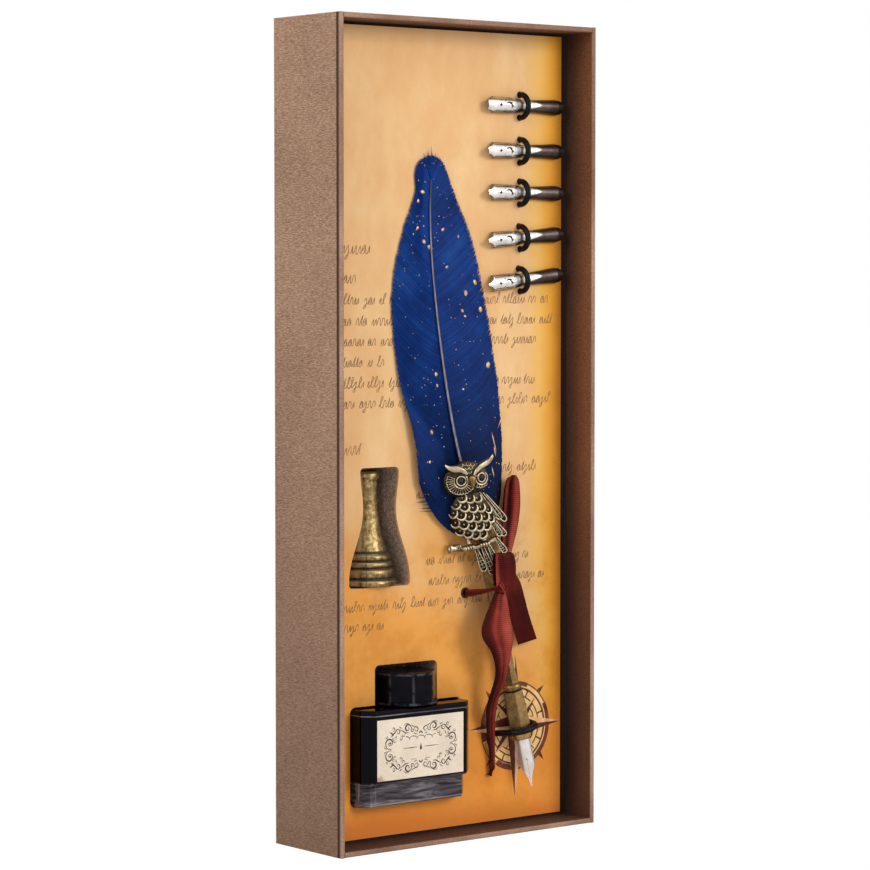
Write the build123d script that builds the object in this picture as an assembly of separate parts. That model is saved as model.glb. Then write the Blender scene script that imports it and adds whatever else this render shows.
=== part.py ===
from build123d import *
import os
from math import asin, atan2, cos, degrees, hypot, radians, sin, tan

# A presentation box for a calligraphy set, standing on its short end with its open
# front towards -Y. Sizes are in millimetres. The origin is at the middle of the
# bottom end wall's underside. A "depth" is measured inwards from the front rim.

# ---------------------------------------------------------------- driving sizes
box_width = 124.0
box_depth = 41.0
box_height = 310.0
board = 2.0                    # wrapped greyboard
rim_rounding = 0.7
seat_gap = 0.3                 # room between a loose piece and what it rests on
fit_gap = 0.05                 # room all round a pressed or glued round fit

foam_face_depth = 15.0         # the tray's foam starts this far below the rim
upper_foam = 10.0
middle_foam = 9.0
card_thickness = 1.0
card_side_border = 3.8
card_end_border = 1.15

# ink bottle
bottle_x = -20.7
bottle_bottom_z = 15.6
bottle_width = 52.0
bottle_thickness = 20.3
bottle_corner = 4.2
bottle_edge_round = 1.0
base_height = 9.0
base_inset = 3.2               # how far the foot stands in from the body, front and back
base_side_inset = 0.8
base_edge_round = 0.8
body_height = 27.8
glass_wall = 2.5
floor_glass = 4.0
neck_radius = 8.5
neck_bore_radius = 6.2
ink_height = 24.0
label_width = 41.2
label_height = 22.9
label_thickness = 0.15
label_drop = 1.2               # below the middle of the body
label_left = 0.6               # left of the bottle's middle
bottle_recess_gap = 0.6
bottle_recess_corner = 2.5

# screw cap
cap_height = 12.2
cap_apothem = 11.1
cap_flange_radius = 12.4
cap_flange_height = 1.2
cap_top = 1.6
cap_facets = 8
cap_top_round = 0.8
cap_facet_round = 0.5
cap_neck_gap = 0.3
cap_clear_below = 0.6
liner_thickness = 0.9
cap_seat_gap = 0.05            # between the liner and the neck's lip
cap_lift = 2.4                 # one turn of the thread
cap_lift_room = 0.4            # left in the recess above the unscrewed cap
cap_recess_half_width = 14.9
cap_recess_corner = 2.0

# turned pen stand
stand_x = -33.25
stand_bottom_z = 97.7
stand_base_radius = 11.4
stand_height = 43.1
stand_socket_radius = 3.5
stand_socket_depth = 27.0
stand_drill_point = 1.5
stand_foot_edge = 1.8          # the height of its lowest, widest band
# the foot's steps and beads, as (in from the widest radius, height)
stand_foot = ((1.55, 3.0), (1.55, 6.6), (2.1, 7.4))
stand_beads = (((1.5, 8.3), (2.1, 9.2)), ((1.7, 10.0), (2.4, 10.9)))
stand_stem = ((7.3, 14.7), (5.6, 22.5), (4.85, 31.5), (5.15, 41.0))
recess_bottom_z = stand_bottom_z - seat_gap
recess_top_z = 142.4
recess_half_widths = ((6.5, 14.0), (13.0, 12.2), (20.5, 9.4), (30.0, 7.7), (38.0, 8.6))
recess_corner = 1.6

# pen: its own frame has Z up the pen from the ring, and -Y to the pen's front
pen_ring_x = 27.7
pen_ring_z = 54.6
pen_axis_height = 4.8          # above the card
pen_tilt = 13.5
pen_roll = 30.0
ring_radius = 3.6
ring_height = 3.2
ring_centre = 0.9
barrel_foot_radius = 2.9
barrel_waist_radius = 2.45
barrel_shoulder_radius = 3.1
barrel_top = 66.0
ferrule_radius = 3.3
ferrule_length = 9.0
quill_bore_radius = 1.3
quill_bore_depth = 13.0
grip_length = 13.8
grip_top_radius = 4.0
grip_foot_radius = 4.6
neck_groove_radius = 3.9
neck_groove_length = 2.8
thread_radius = 2.3
thread_length = 6.0
spigot_radius = 3.6
collar_radius = 4.5
collar_length = 2.6
nib_bore_radius = 3.2
nib_bore_depth = 9.6
nib_core_radius = 2.4
barrel_waist_height = 20.0     # above the ring
barrel_shoulder_height = 43.0

# writing nibs: a pressed half tube of thin steel
nib_steel = 0.35
nib_slit_width = 0.12
nib_vent_radius = 0.45
nib_flank_rise = 0.45          # where a nib's side curves in, as a share of its shoulder's height
nib_flank_width = 0.22         # and how wide it is there, from its point's width to its shoulder's
pen_nib_length = 28.0
pen_nib_heel_radius = 3.05
pen_nib_shoulder_radius = 3.45
pen_nib_shoulder = 8.8         # from the point
pen_nib_point_radius = 3.2
pen_nib_point_width = 0.5
pen_nib_vent = 2.2             # above the shoulder
pen_nib_seat = 0.8             # short of the bore's end
spare_nib_length = 38.0
spare_heel_radius = 3.05
spare_waist_radius = 2.4
spare_shoulder_radius = 3.2
spare_shoulder = 3.8
spare_vent = 2.0               # above the shoulder
spare_crown = 13.0             # the crown's end, from the point
spare_waist_end = 24.0
spare_heel_start = 3.0         # from the heel's end
heel_round = 2.15              # how far the heel's rounded end runs back
spare_axis_height = 0.75       # above the card
spare_heel_room = 5.3          # from the heels to the side wall
# the point's distance below the top wall, tilt in degrees and width of the point
spare_nibs = ((28.5, -0.4, 3.9), (46.0, 0.3, 2.4), (62.0, 0.0, 1.7), (80.6, 4.2, 1.1), (97.4, 5.8, 0.7))

# elastic loops
loop_cord = 2.2
loop_gap = 0.25                # between the loop and the widest part of a nib
loop_from_point = 18.3
loop_hole_gap = 0.2
pen_cord = 2.4
pen_loop_gap = 0.25
pen_loop_left = 8.7            # from the pen's axis to the hole on its left
pen_loop_right = 6.8
bridge_drop = 1.4              # how far a loop's bridge lies below the foam's face

# feather
vane_thickness = 0.3
vane_lift = 0.15
vane_outline = (
    (-7.9, 257.8), (-15.6, 254.0), (-17.4, 244.0), (-23.5, 230.5), (-27.0, 215.0),
    (-27.8, 200.0), (-25.2, 177.5), (-18.6, 153.0), (-16.2, 138.0), (-8.2, 122.0),
    (3.5, 114.6), (18.0, 118.5), (25.0, 130.0), (25.4, 148.0), (22.6, 178.0),
    (17.6, 203.0), (11.2, 227.0), (3.2, 243.5), (-3.0, 253.5),
)
# the shaft's line: x, z, its radius there and how far it lies above the vane
shaft_line = ((3.4, 147.0, 0.75, 0.4), (-1.4, 168.0, 0.7, 0.1), (-6.2, 196.0, 0.6, 0.1),
              (-9.2, 222.0, 0.5, 0.1), (-9.4, 250.0, 0.3, 0.1))

# ribbon
ribbon_thickness = 0.5
ribbon_hole_radius = 1.9
ribbon_hole_x = 8.0
ribbon_hole_z = 92.7
ribbon_band_width = 2.6
ribbon_band_gap = 0.35
knot_width = 6.6
knot_height = 5.0
knot_thickness = 2.4
knot_rounding = 0.9
knot_offset = (-1.2, -0.2)      # from the middle of the band
# outlines from the front, (across, up) from the knot, and how high above the card each part
# lies, as (height, up)
left_tail = (
    (-2.2, 1.1), (-8.3, -11.8), (-8.8, -18.3), (-4.3, -24.3), (-1.9, -32.0), (-3.2, -45.2), (-2.3, -50.5),
    (-0.3, -57.5), (2.2, -66.2), (2.1, -71.3), (5.0, -69.9), (3.7, -56.2), (2.3, -49.1), (2.1, -42.7),
    (3.4, -35.9), (5.2, -26.3), (6.5, -19.4), (4.6, -12.6), (2.1, 0.1),
)
left_tail_fall = (
    (9.8, 1.6), (10.2, -14.9), (10.2, -32.9), (6.8, -44.4), (3.0, -55.9), (1.1, -72.9),
)
right_tail = (
    (-1.0, 1.1), (8.8, 4.1), (10.1, 1.6), (24.5, -22.1), (15.2, -23.5), (10.3, -14.7), (1.8, -1.5),
)
right_tail_fall = ((11.0, 5.1), (9.8, -0.9), (5.7, -14.7), (3.0, -24.9))
tall_loop = (
    (-1.2, 1.1), (0.8, 6.1), (5.2, 13.9), (7.0, 33.4), (8.1, 40.8), (10.8, 42.4), (14.0, 41.0), (15.1, 34.2),
    (12.6, 21.8), (9.0, 13.7), (4.4, 6.1), (3.0, 1.1),
)
tall_loop_fall = ((9.6, 0.6), (9.1, 5.6), (6.6, 10.6), (4.2, 23.1), (4.0, 43.1))
short_loop = (
    (-3.4, -1.9), (-3.2, 13.0), (5.0, 13.3), (7.3, 11.1), (9.4, 2.6), (3.2, -1.9),
)
short_loop_falls = (((11.4, 14.1), (10.7, -2.4)), ((9.8, 14.1), (9.4, -2.4)))
short_loop_fold = ((11.4, 13.4), (11.3, 12.4))
short_loop_fold_depth = 1.7

card_face_depth = foam_face_depth - card_thickness
inside_width = box_width - 2 * board
inside_height = box_height - 2 * board
inside_depth = box_depth - board
pen_axis_depth = card_face_depth - pen_axis_height
spare_axis_depth = card_face_depth - spare_axis_height
spare_tip_x = inside_width / 2 - spare_heel_room - spare_nib_length


def at_depth(depth):
    """The row's Y of a plane this far inside the front rim."""
    return depth - box_depth / 2


def front_plane(depth):
    """A drawing plane seen from the front: X to the right, Z up."""
    return Plane(origin=(0, at_depth(depth), 0), x_dir=(1, 0, 0), z_dir=(0, -1, 0))


def plate(sketch, depth, thickness):
    """A flat plate of this outline whose front face lies at this depth."""
    return extrude(front_plane(depth) * sketch, amount=-thickness)


def block(x, depth, z):
    """A plain block from three pairs of limits; the middle pair is in depth."""
    return Pos((x[0] + x[1]) / 2, at_depth((depth[0] + depth[1]) / 2), (z[0] + z[1]) / 2) * Box(
        x[1] - x[0], depth[1] - depth[0], z[1] - z[0]
    )


standing = (Align.CENTER, Align.CENTER, Align.MIN)


def turned(profile):
    """A turned piece from its half profile of (radius, height) points."""
    return revolve(Plane.XZ * make_face(Polyline(*profile, close=True)), Axis.Z)


def swept_cord(path, diameter):
    """A round cord along a closed or open path."""
    start = Plane(origin=path @ 0, z_dir=path % 0)
    return sweep(start * Circle(diameter / 2), path=path)


# ---------------------------------------------------------------- case
def rounded_rim(wall):
    rim = wall.edges().filter_by(lambda e: abs(e.center().Y - at_depth(0)) < 0.01)
    along = rim.filter_by(lambda e: e.length > 3 * board)
    return fillet(along, rim_rounding)


def back_board():
    return block((-box_width / 2, box_width / 2), (inside_depth, box_depth), (0, box_height))


def side_wall(side):
    outer, inner = side * box_width / 2, side * inside_width / 2
    wall = block(sorted((outer, inner)), (0, inside_depth), (0, box_height))
    return rounded_rim(wall)


def end_wall(low):
    wall = block((-inside_width / 2, inside_width / 2), (0, inside_depth), (low, low + board))
    return rounded_rim(wall)


# ---------------------------------------------------------------- recesses
def bottle_recess():
    gap = bottle_recess_gap
    body_top = bottle_bottom_z + base_height + body_height
    low, high = bottle_bottom_z - seat_gap, body_top + gap
    body = RectangleRounded(bottle_width + 2 * gap, high - low, bottle_recess_corner)
    return Pos(bottle_x, (low + high) / 2) * body + cap_recess()


def cap_recess():
    low = bottle_bottom_z + base_height
    high = low + body_height + cap_clear_below + cap_height + cap_lift + cap_lift_room
    recess = RectangleRounded(2 * cap_recess_half_width, high - low, cap_recess_corner)
    return Pos(bottle_x, (low + high) / 2) * recess


def stand_recess():
    rise = recess_top_z - recess_bottom_z
    top_half = recess_half_widths[-1][1] + 0.5
    low_half = recess_half_widths[0][1]
    right = [(low_half + 0.2, 0)] + [(w, h) for h, w in recess_half_widths] + [(top_half, rise)]
    left = [(-x, z) for x, z in reversed(right)]
    outline = make_face([
        Spline(*right),
        Line(right[-1], left[0]),
        Spline(*left),
        Line(left[-1], right[0]),
    ])
    outline = fillet(outline.vertices(), recess_corner)
    return Pos(stand_x, recess_bottom_z) * outline


# ---------------------------------------------------------------- holes for cords
def spare_frame(below_top, tilt):
    """A spare nib's own frame: Z from its point to its heel, -Y to the front."""
    z = box_height - board - below_top
    return Pos(spare_tip_x, at_depth(spare_axis_depth), z) * Rot(0, 90 - tilt, 0)


def pen_frame():
    tilted = Pos(pen_ring_x, at_depth(pen_axis_depth), pen_ring_z) * Rot(0, -pen_tilt, 0)
    return tilted * Rot(0, 0, -pen_roll)


def unrolled_pen_frame():
    return Pos(pen_ring_x, at_depth(pen_axis_depth), pen_ring_z) * Rot(0, -pen_tilt, 0)


loop_radius = spare_heel_radius + loop_gap + loop_cord / 2
pen_loop_radius = collar_radius + pen_loop_gap + pen_cord / 2
ring_low = ring_centre - ring_height / 2
pen_loop_height = ring_low - grip_length - neck_groove_length / 2
foam_bridge_depth = foam_face_depth + bridge_drop


def cord_channels(grow):
    """The solids that the elastic loops and the ribbon take out of the card and the foam."""
    cuts = []
    for below_top, tilt, _ in spare_nibs:
        frame = spare_frame(below_top, tilt) * Pos(0, 0, loop_from_point)
        back = foam_bridge_depth + loop_cord - spare_axis_depth
        width = 2 * loop_radius + loop_cord
        cuts.append(frame * Pos(0, back / 2, 0) * Box(width + grow, back, loop_cord + grow))
    frame = unrolled_pen_frame() * Pos((pen_loop_right - pen_loop_left) / 2, 0, pen_loop_height)
    back = foam_bridge_depth + pen_cord - pen_axis_depth
    width = pen_loop_left + pen_loop_right + pen_cord
    cuts.append(frame * Pos(0, back / 2, 0) * Box(width + grow, back, pen_cord + grow))
    frame = ribbon_band_frame()
    back = foam_face_depth + 2 * ribbon_thickness + 0.5 - pen_axis_depth
    width = 2 * ribbon_spread() + 2 * ribbon_thickness
    cuts.append(frame * Pos(0, back / 2, 0) * Box(width + grow, back, ribbon_band_width + grow))
    return cuts


def card_holes():
    """Round holes through the card for the legs of each loop and of the ribbon's band."""
    holes = []
    reach = 4.0
    for below_top, tilt, _ in spare_nibs:
        frame = spare_frame(below_top, tilt)
        frame *= Pos(0, card_face_depth - spare_axis_depth, loop_from_point)
        for side in (-1, 1):
            holes.append(frame * Pos(side * loop_radius, 0, 0) * Rot(90, 0, 0)
                         * Cylinder(loop_cord / 2 + loop_hole_gap, reach))
    frame = unrolled_pen_frame() * Pos(0, card_face_depth - pen_axis_depth, pen_loop_height)
    for across in (-pen_loop_left, pen_loop_right):
        holes.append(frame * Pos(across, 0, 0) * Rot(90, 0, 0)
                     * Cylinder(pen_cord / 2 + loop_hole_gap, reach))
    frame = ribbon_band_frame() * Pos(0, card_face_depth - pen_axis_depth, 0)
    for side in (-1, 1):
        holes.append(frame * Pos(side * ribbon_spread(), 0, 0) * Rot(90, 0, 0)
                     * Cylinder(ribbon_hole_radius, reach))
    return holes


# ---------------------------------------------------------------- tray
def foam_layer(depth, thickness, *recesses):
    half = inside_width / 2
    layer = block((-half, half), (depth, depth + thickness), (board, board + inside_height))
    for recess in recesses:
        layer -= plate(recess, depth - 1, thickness + 2)
    return layer


def upper_foam_layer():
    layer = foam_layer(foam_face_depth, upper_foam, bottle_recess(), stand_recess())
    for channel in cord_channels(0.2):
        layer -= channel
    return layer


def middle_foam_layer():
    return foam_layer(foam_face_depth + upper_foam, middle_foam, cap_recess(), stand_recess())


def base_foam_sheet():
    depth = foam_face_depth + upper_foam + middle_foam
    return foam_layer(depth, inside_depth - depth)


def printed_card():
    width = inside_width - 2 * card_side_border
    height = inside_height - 2 * card_end_border
    outline = Pos(0, board + inside_height / 2) * Rectangle(width, height)
    outline -= bottle_recess()
    outline -= stand_recess()
    card = plate(outline, card_face_depth, card_thickness)
    for hole in card_holes():
        card -= hole
    return card


# ---------------------------------------------------------------- elastic loops and ribbon
def spare_nib_elastic(below_top, tilt):
    """A loop over a spare nib: a half ring in front, straight legs, and a bridge behind the card."""
    r = loop_radius
    corner = loop_cord
    back = -(foam_bridge_depth + loop_cord / 2 - spare_axis_depth)
    path = Wire([
        CenterArc((0, 0), r, 0, 180).edge(),
        Line((-r, 0), (-r, back + corner)).edge(),
        CenterArc((-r + corner, back + corner), corner, 180, 90).edge(),
        Line((-r + corner, back), (r - corner, back)).edge(),
        CenterArc((r - corner, back + corner), corner, 270, 90).edge(),
        Line((r, back + corner), (r, 0)).edge(),
    ])
    # drawn in X and Y, then stood across the nib with the arch to the front
    across = spare_frame(below_top, tilt) * Pos(0, 0, loop_from_point) * Rot(0, 0, 180)
    return across * swept_cord(path, loop_cord)


def pen_elastic():
    """The loop over the pen's neck: it slants from two holes in the card over the pen's front."""
    r = pen_loop_radius
    foot = pen_axis_depth - card_face_depth + 0.3
    back = -(foam_bridge_depth + pen_cord / 2 - pen_axis_depth)
    path = strap_path(pen_loop_left, pen_loop_right, foot, back, r, pen_cord)
    across = unrolled_pen_frame() * Pos(0, 0, pen_loop_height) * Rot(0, 0, 180)
    return across * swept_cord(path, pen_cord)


def strap_path(first, second, foot, back, radius, corner):
    """A closed line over a round thing at the origin: an arc in front, slanting sides to two
    feet, the first towards +X and the second towards -X, and a straight bridge behind."""
    slopes = []
    for spread in (first, second):
        slopes.append(tan(atan2(-foot, -spread) - asin(radius / hypot(spread, foot))))
    apex_x = (first * slopes[0] - second * slopes[1]) / (slopes[0] + slopes[1])
    apex = (apex_x, foot + (apex_x - first) * slopes[0])
    points = [(first, back), (first, foot), apex, (-second, foot), (-second, back)]
    rounding = [corner, corner, radius, corner, corner]
    return Wire(FilletPolyline(*points, radius=rounding, close=True).edges())


def ribbon_spread():
    """From the pen's axis to the ribbon's holes, across the pen."""
    dx, dz = ribbon_hole_x - pen_ring_x, ribbon_hole_z - pen_ring_z
    return -dx * cos(radians(pen_tilt)) - dz * sin(radians(pen_tilt))


def ribbon_height():
    """The ribbon's place along the pen."""
    dx, dz = ribbon_hole_x - pen_ring_x, ribbon_hole_z - pen_ring_z
    return dz * cos(radians(pen_tilt)) - dx * sin(radians(pen_tilt))


def ribbon_band_frame():
    return unrolled_pen_frame() * Pos(0, 0, ribbon_height())


def draped(outline, fall, thickness=ribbon_thickness):
    """A thin strip by the knot: its outline from the front as (across, up) from the knot, and
    its line from the side as (height of its back above the card, up)."""
    edge = [(at_depth(card_face_depth - height), up) for height, up in fall]
    edge += [(y + thickness, up) for y, up in reversed(edge)]
    side = extrude(Plane.YZ * make_face(Polyline(*edge, close=True)), amount=box_width, both=True)
    seen = plate(make_face(Polyline(*outline, close=True)), 0, inside_depth)
    place = ribbon_band_frame().position
    return Pos(place.X + knot_offset[0], 0, place.Z + knot_offset[1]) * (side & seen)


def ribbon_band():
    """The flat band that comes out of its holes and goes round the barrel's front."""
    around = barrel_shoulder_radius + ribbon_band_gap + ribbon_thickness / 2
    foot = -pen_axis_height + ribbon_thickness
    back = -(pen_axis_height + card_thickness + ribbon_band_gap + ribbon_thickness / 2)
    path = strap_path(ribbon_spread(), ribbon_spread(), foot, back, around, 2 * ribbon_thickness)
    start = Plane(origin=path @ 0, z_dir=path % 0, x_dir=(0, 0, 1))
    band = sweep(start * Rectangle(ribbon_band_width, ribbon_thickness), path=path)
    return ribbon_band_frame() * Rot(0, 0, 180) * band


def ribbon_knot():
    front = pen_axis_depth - barrel_shoulder_radius - ribbon_band_gap - ribbon_thickness / 2
    half, up = knot_width / 2, knot_height / 2
    place = ribbon_band_frame().position
    knot = block((-half, half), (front - knot_thickness, front), (-up, up))
    knot = fillet(knot.edges(), knot_rounding)
    return Pos(place.X + knot_offset[0], 0, place.Z + knot_offset[1]) * knot


def tie_ribbon():
    """The satin ribbon that ties the pen to the card: a band over the barrel, its knot, a tall loop,
    a short folded loop and two tails."""
    ribbon = ribbon_band() + ribbon_knot()
    ribbon += draped(left_tail, left_tail_fall)
    ribbon += draped(right_tail, right_tail_fall)
    ribbon += draped(tall_loop, tall_loop_fall, 2 * ribbon_thickness)
    for fall in short_loop_falls:
        ribbon += draped(short_loop, fall)
    return ribbon + draped(short_loop, short_loop_fold, short_loop_fold_depth)


# ---------------------------------------------------------------- ink bottle
bottle_axis_depth = foam_face_depth + upper_foam - seat_gap - bottle_thickness / 2
body_bottom_z = bottle_bottom_z + base_height
body_top_z = body_bottom_z + body_height
cap_bottom_z = body_top_z + cap_clear_below
neck_height = cap_clear_below + cap_height - cap_top - fit_gap - liner_thickness - cap_seat_gap
bottle_front_depth = bottle_axis_depth - bottle_thickness / 2


def bottle_place(z):
    return Pos(bottle_x, at_depth(bottle_axis_depth), z)


def chamfered_slab(width, thickness, corner, low, height, rounding):
    slab = Pos(0, 0, low + height / 2) * Box(width, thickness, height)
    slab = chamfer(slab.edges().filter_by(Axis.Z), corner)
    return fillet(slab.edges(), rounding) if rounding else slab


def bottle_glass():
    outside = chamfered_slab(
        bottle_width, bottle_thickness, bottle_corner, base_height, body_height, bottle_edge_round
    )
    foot_width = bottle_width - 2 * base_side_inset
    foot_thickness = bottle_thickness - 2 * base_inset
    foot = chamfered_slab(foot_width, foot_thickness, bottle_corner - 1, 0, base_height + 2, 0)
    foot = fillet(foot.edges().group_by(Axis.Z)[0], base_edge_round)
    neck = Cylinder(neck_radius, neck_height + 1)
    neck = Pos(0, 0, base_height + body_height + neck_height / 2 - 0.5) * neck
    cavity_top = base_height + body_height - glass_wall
    cavity = bottle_cavity(floor_glass, cavity_top)
    bore = Cylinder(neck_bore_radius, neck_height + glass_wall + 3, align=standing)
    bore = Pos(0, 0, cavity_top - 1) * bore
    return bottle_place(bottle_bottom_z) * (outside + foot + neck - cavity - bore)


def bottle_cavity(low, high):
    """The space inside the glass: narrow through the base, then the full width of the body."""
    wall = 2 * glass_wall
    step = base_height + glass_wall
    foot_width = bottle_width - 2 * base_side_inset - wall
    foot_thickness = bottle_thickness - 2 * base_inset - wall
    foot = chamfered_slab(foot_width, foot_thickness, 2.0, low, step - low, 0)
    body_width, body_thickness = bottle_width - wall, bottle_thickness - wall
    body = chamfered_slab(body_width, body_thickness, bottle_corner - 1, step, high - step, 0)
    return foot + body


def ink():
    return bottle_place(bottle_bottom_z) * bottle_cavity(floor_glass, floor_glass + ink_height)


def bottle_label():
    middle = body_bottom_z + body_height / 2 - label_drop
    outline = Pos(bottle_x - label_left, middle) * Rectangle(label_width, label_height)
    return plate(outline, bottle_front_depth - label_thickness, label_thickness)


def bottle_cap():
    half_facet = 180 / cap_facets
    circumradius = cap_apothem / cos(radians(half_facet))
    outline = RegularPolygon(circumradius, cap_facets, rotation=half_facet)
    outside = extrude(fillet(outline.vertices(), cap_facet_round), cap_height)
    outside = fillet(outside.edges().group_by(Axis.Z)[-1], cap_top_round)
    outside += Pos(0, 0, cap_flange_height / 2) * Cylinder(cap_flange_radius, cap_flange_height)
    hollow = Cylinder(neck_radius + cap_neck_gap, cap_height - cap_top, align=standing)
    return bottle_place(cap_bottom_z) * (outside - hollow)


def cap_liner():
    z = cap_bottom_z + cap_height - cap_top - fit_gap - liner_thickness / 2
    return bottle_place(z) * Cylinder(neck_radius, liner_thickness)


# ---------------------------------------------------------------- pen stand
def pen_stand():
    """A turned brass stand: a stepped foot with beads, a waisted stem and a socket for the pen."""
    r = stand_base_radius
    top = stand_height
    socket_end = top - stand_socket_depth
    steps = [(r - inward, z) for inward, z in stand_foot]
    foot = Polyline((0, 0), (r, 0), (r, stand_foot_edge), *steps)
    outline = [foot]
    for (crown_in, crown), (end_in, end) in stand_beads:
        start = outline[-1] @ 1
        outline.append(ThreePointArc(start, (r - crown_in, crown), (r - end_in, end)))
    outline.append(Spline(outline[-1] @ 1, *stand_stem))
    outline.append(Polyline(
        stand_stem[-1], (stand_stem[-1][0], top), (stand_socket_radius, top),
        (stand_socket_radius, socket_end), (0, socket_end - stand_drill_point), (0, 0),
    ))
    profile = make_face(outline)
    axis_depth = foam_face_depth + upper_foam + middle_foam - seat_gap - stand_base_radius
    return Pos(stand_x, at_depth(axis_depth), stand_bottom_z) * revolve(Plane.XZ * profile, Axis.Z)


# ---------------------------------------------------------------- pen
def hexagon(radius, height):
    return Pos(0, 0, height) * RegularPolygon(radius, 6, rotation=30)


def pen_barrel():
    """The cast barrel: six soft facets that narrow to a waist, a ring, a thread below it and
    a ferrule at the top, bored for the quill."""
    ring_top = ring_centre + ring_height / 2
    ferrule_low = barrel_top - ferrule_length
    barrel = loft([
        hexagon(barrel_foot_radius, ring_top - 0.4),
        hexagon(barrel_waist_radius, barrel_waist_height),
        hexagon(barrel_shoulder_radius, barrel_shoulder_height),
        hexagon(barrel_shoulder_radius, ferrule_low + 0.5),
    ])
    ring = fillet(Cylinder(ring_radius, ring_height).edges(), 0.45 * ring_height)
    ring = Pos(0, 0, ring_centre) * ring
    ferrule = Cylinder(ferrule_radius, ferrule_length)
    ferrule = Pos(0, 0, ferrule_low + ferrule_length / 2) * ferrule
    thread = Cylinder(thread_radius, thread_length + 1)
    thread = Pos(0, 0, ring_low - thread_length / 2 + 0.5) * thread
    bore = Cylinder(quill_bore_radius, quill_bore_depth + 0.01)
    bore = Pos(0, 0, barrel_top - quill_bore_depth / 2) * bore
    return pen_frame() * (barrel + ring + ferrule + thread - bore)


def pen_grip():
    """The faceted grip: a neck that the elastic lies in, a spigot for the collar, and a bore
    for the nib round its core."""
    top = ring_low
    foot = top - grip_length
    neck_low = foot - neck_groove_length
    grip = loft([hexagon(grip_top_radius, top), hexagon(grip_foot_radius, foot)])
    neck = Cylinder(neck_groove_radius, neck_groove_length + 1, align=standing)
    grip += Pos(0, 0, neck_low) * neck
    grip += Pos(0, 0, neck_low - collar_length / 2) * Cylinder(spigot_radius, collar_length)
    end = neck_low - collar_length
    socket_depth = thread_length + 0.5
    grip -= Pos(0, 0, top - socket_depth / 2) * Cylinder(thread_radius + fit_gap, socket_depth)
    grip -= Pos(0, 0, end + nib_bore_depth / 2) * Cylinder(nib_bore_radius, nib_bore_depth + 0.01)
    core_length = nib_bore_depth - 0.6
    core = Cylinder(nib_core_radius, core_length)
    grip += Pos(0, 0, end + nib_bore_depth - core_length / 2 + 0.01) * core
    return pen_frame() * grip


def nib_collar():
    high = ring_low - grip_length - neck_groove_length
    shape = Cylinder(collar_radius, collar_length, align=(Align.CENTER, Align.CENTER, Align.MAX))
    shape = fillet(shape.edges().group_by(Axis.Z)[0], 0.75)
    shape = fillet(shape.edges().group_by(Axis.Z)[-1], 0.3)
    shape -= Cylinder(spigot_radius + fit_gap, 3 * collar_length)
    return pen_frame() * Pos(0, 0, high) * shape


def pressed_nib(point_width, shoulder, length, radii, vent):
    """A nib from its point at the origin up to its heel: a half tube of thin steel whose outline
    narrows to the point, slit up to a vent hole. radii are (height, outer radius) pairs."""
    outer = [(r, z) for z, r in radii]
    inner = [(r - nib_steel, z) for z, r in reversed(radii)]
    tube = turned(outer + inner)
    half = radii[1][1] - 0.05
    tip = point_width / 2
    flank = (tip + nib_flank_width * (half - tip), nib_flank_rise * shoulder)
    right = Spline((tip, 0), flank, (half, shoulder))
    heel = Polyline(
        (half, shoulder), (half + 1, shoulder + 1), (half + 1, length),
        (-half - 1, length), (-half - 1, shoulder + 1), (-half, shoulder),
    )
    left = Spline((-half, shoulder), (-flank[0], flank[1]), (-tip, 0))
    front = Plane.XZ * make_face([right, heel, left, Line((-tip, 0), (tip, 0))])
    nib = tube & extrude(front, amount=2 * half + 2)
    nib -= Pos(0, -half, vent) * Rot(90, 0, 0) * Cylinder(nib_vent_radius, 2 * half)
    return nib - Pos(0, -half, vent / 2 - 0.1) * Box(nib_slit_width, 2 * half, vent)


def pen_nib():
    length = pen_nib_length
    radii = [
        (0, pen_nib_point_radius),
        (pen_nib_shoulder, pen_nib_shoulder_radius),
        (length - nib_bore_depth, pen_nib_heel_radius),
        (length, pen_nib_heel_radius),
    ]
    end = ring_low - grip_length - neck_groove_length - collar_length
    seated = end + nib_bore_depth - pen_nib_seat - length
    vent = pen_nib_shoulder + pen_nib_vent
    nib = pressed_nib(pen_nib_point_width, pen_nib_shoulder, length, radii, vent)
    return pen_frame() * Pos(0, 0, seated) * nib


def spare_nib(below_top, tilt, point_width):
    length = spare_nib_length
    radii = [
        (0, spare_shoulder_radius - 0.25),
        (spare_shoulder, spare_shoulder_radius),
        (spare_crown, spare_shoulder_radius - 0.1),
        (loop_from_point, spare_waist_radius),
        (spare_waist_end, spare_waist_radius + 0.1),
        (length - spare_heel_start, spare_heel_radius),
        (length, spare_heel_radius - 0.4),
    ]
    nib = pressed_nib(point_width, spare_shoulder, length, radii, spare_shoulder + spare_vent)
    outline = Pos(0, (length - heel_round) / 2) * Rectangle(4 * spare_heel_radius, length - heel_round)
    outline += Pos(0, length - heel_round) * Ellipse(spare_heel_radius, heel_round)
    nib &= extrude(Plane.XZ * outline, amount=2 * spare_heel_radius, both=True)
    return spare_frame(below_top, tilt) * nib


# ---------------------------------------------------------------- feather
def feather_vane():
    outline = make_face(Spline(*vane_outline, periodic=True))
    return plate(outline, card_face_depth - vane_lift - vane_thickness, vane_thickness)


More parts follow.
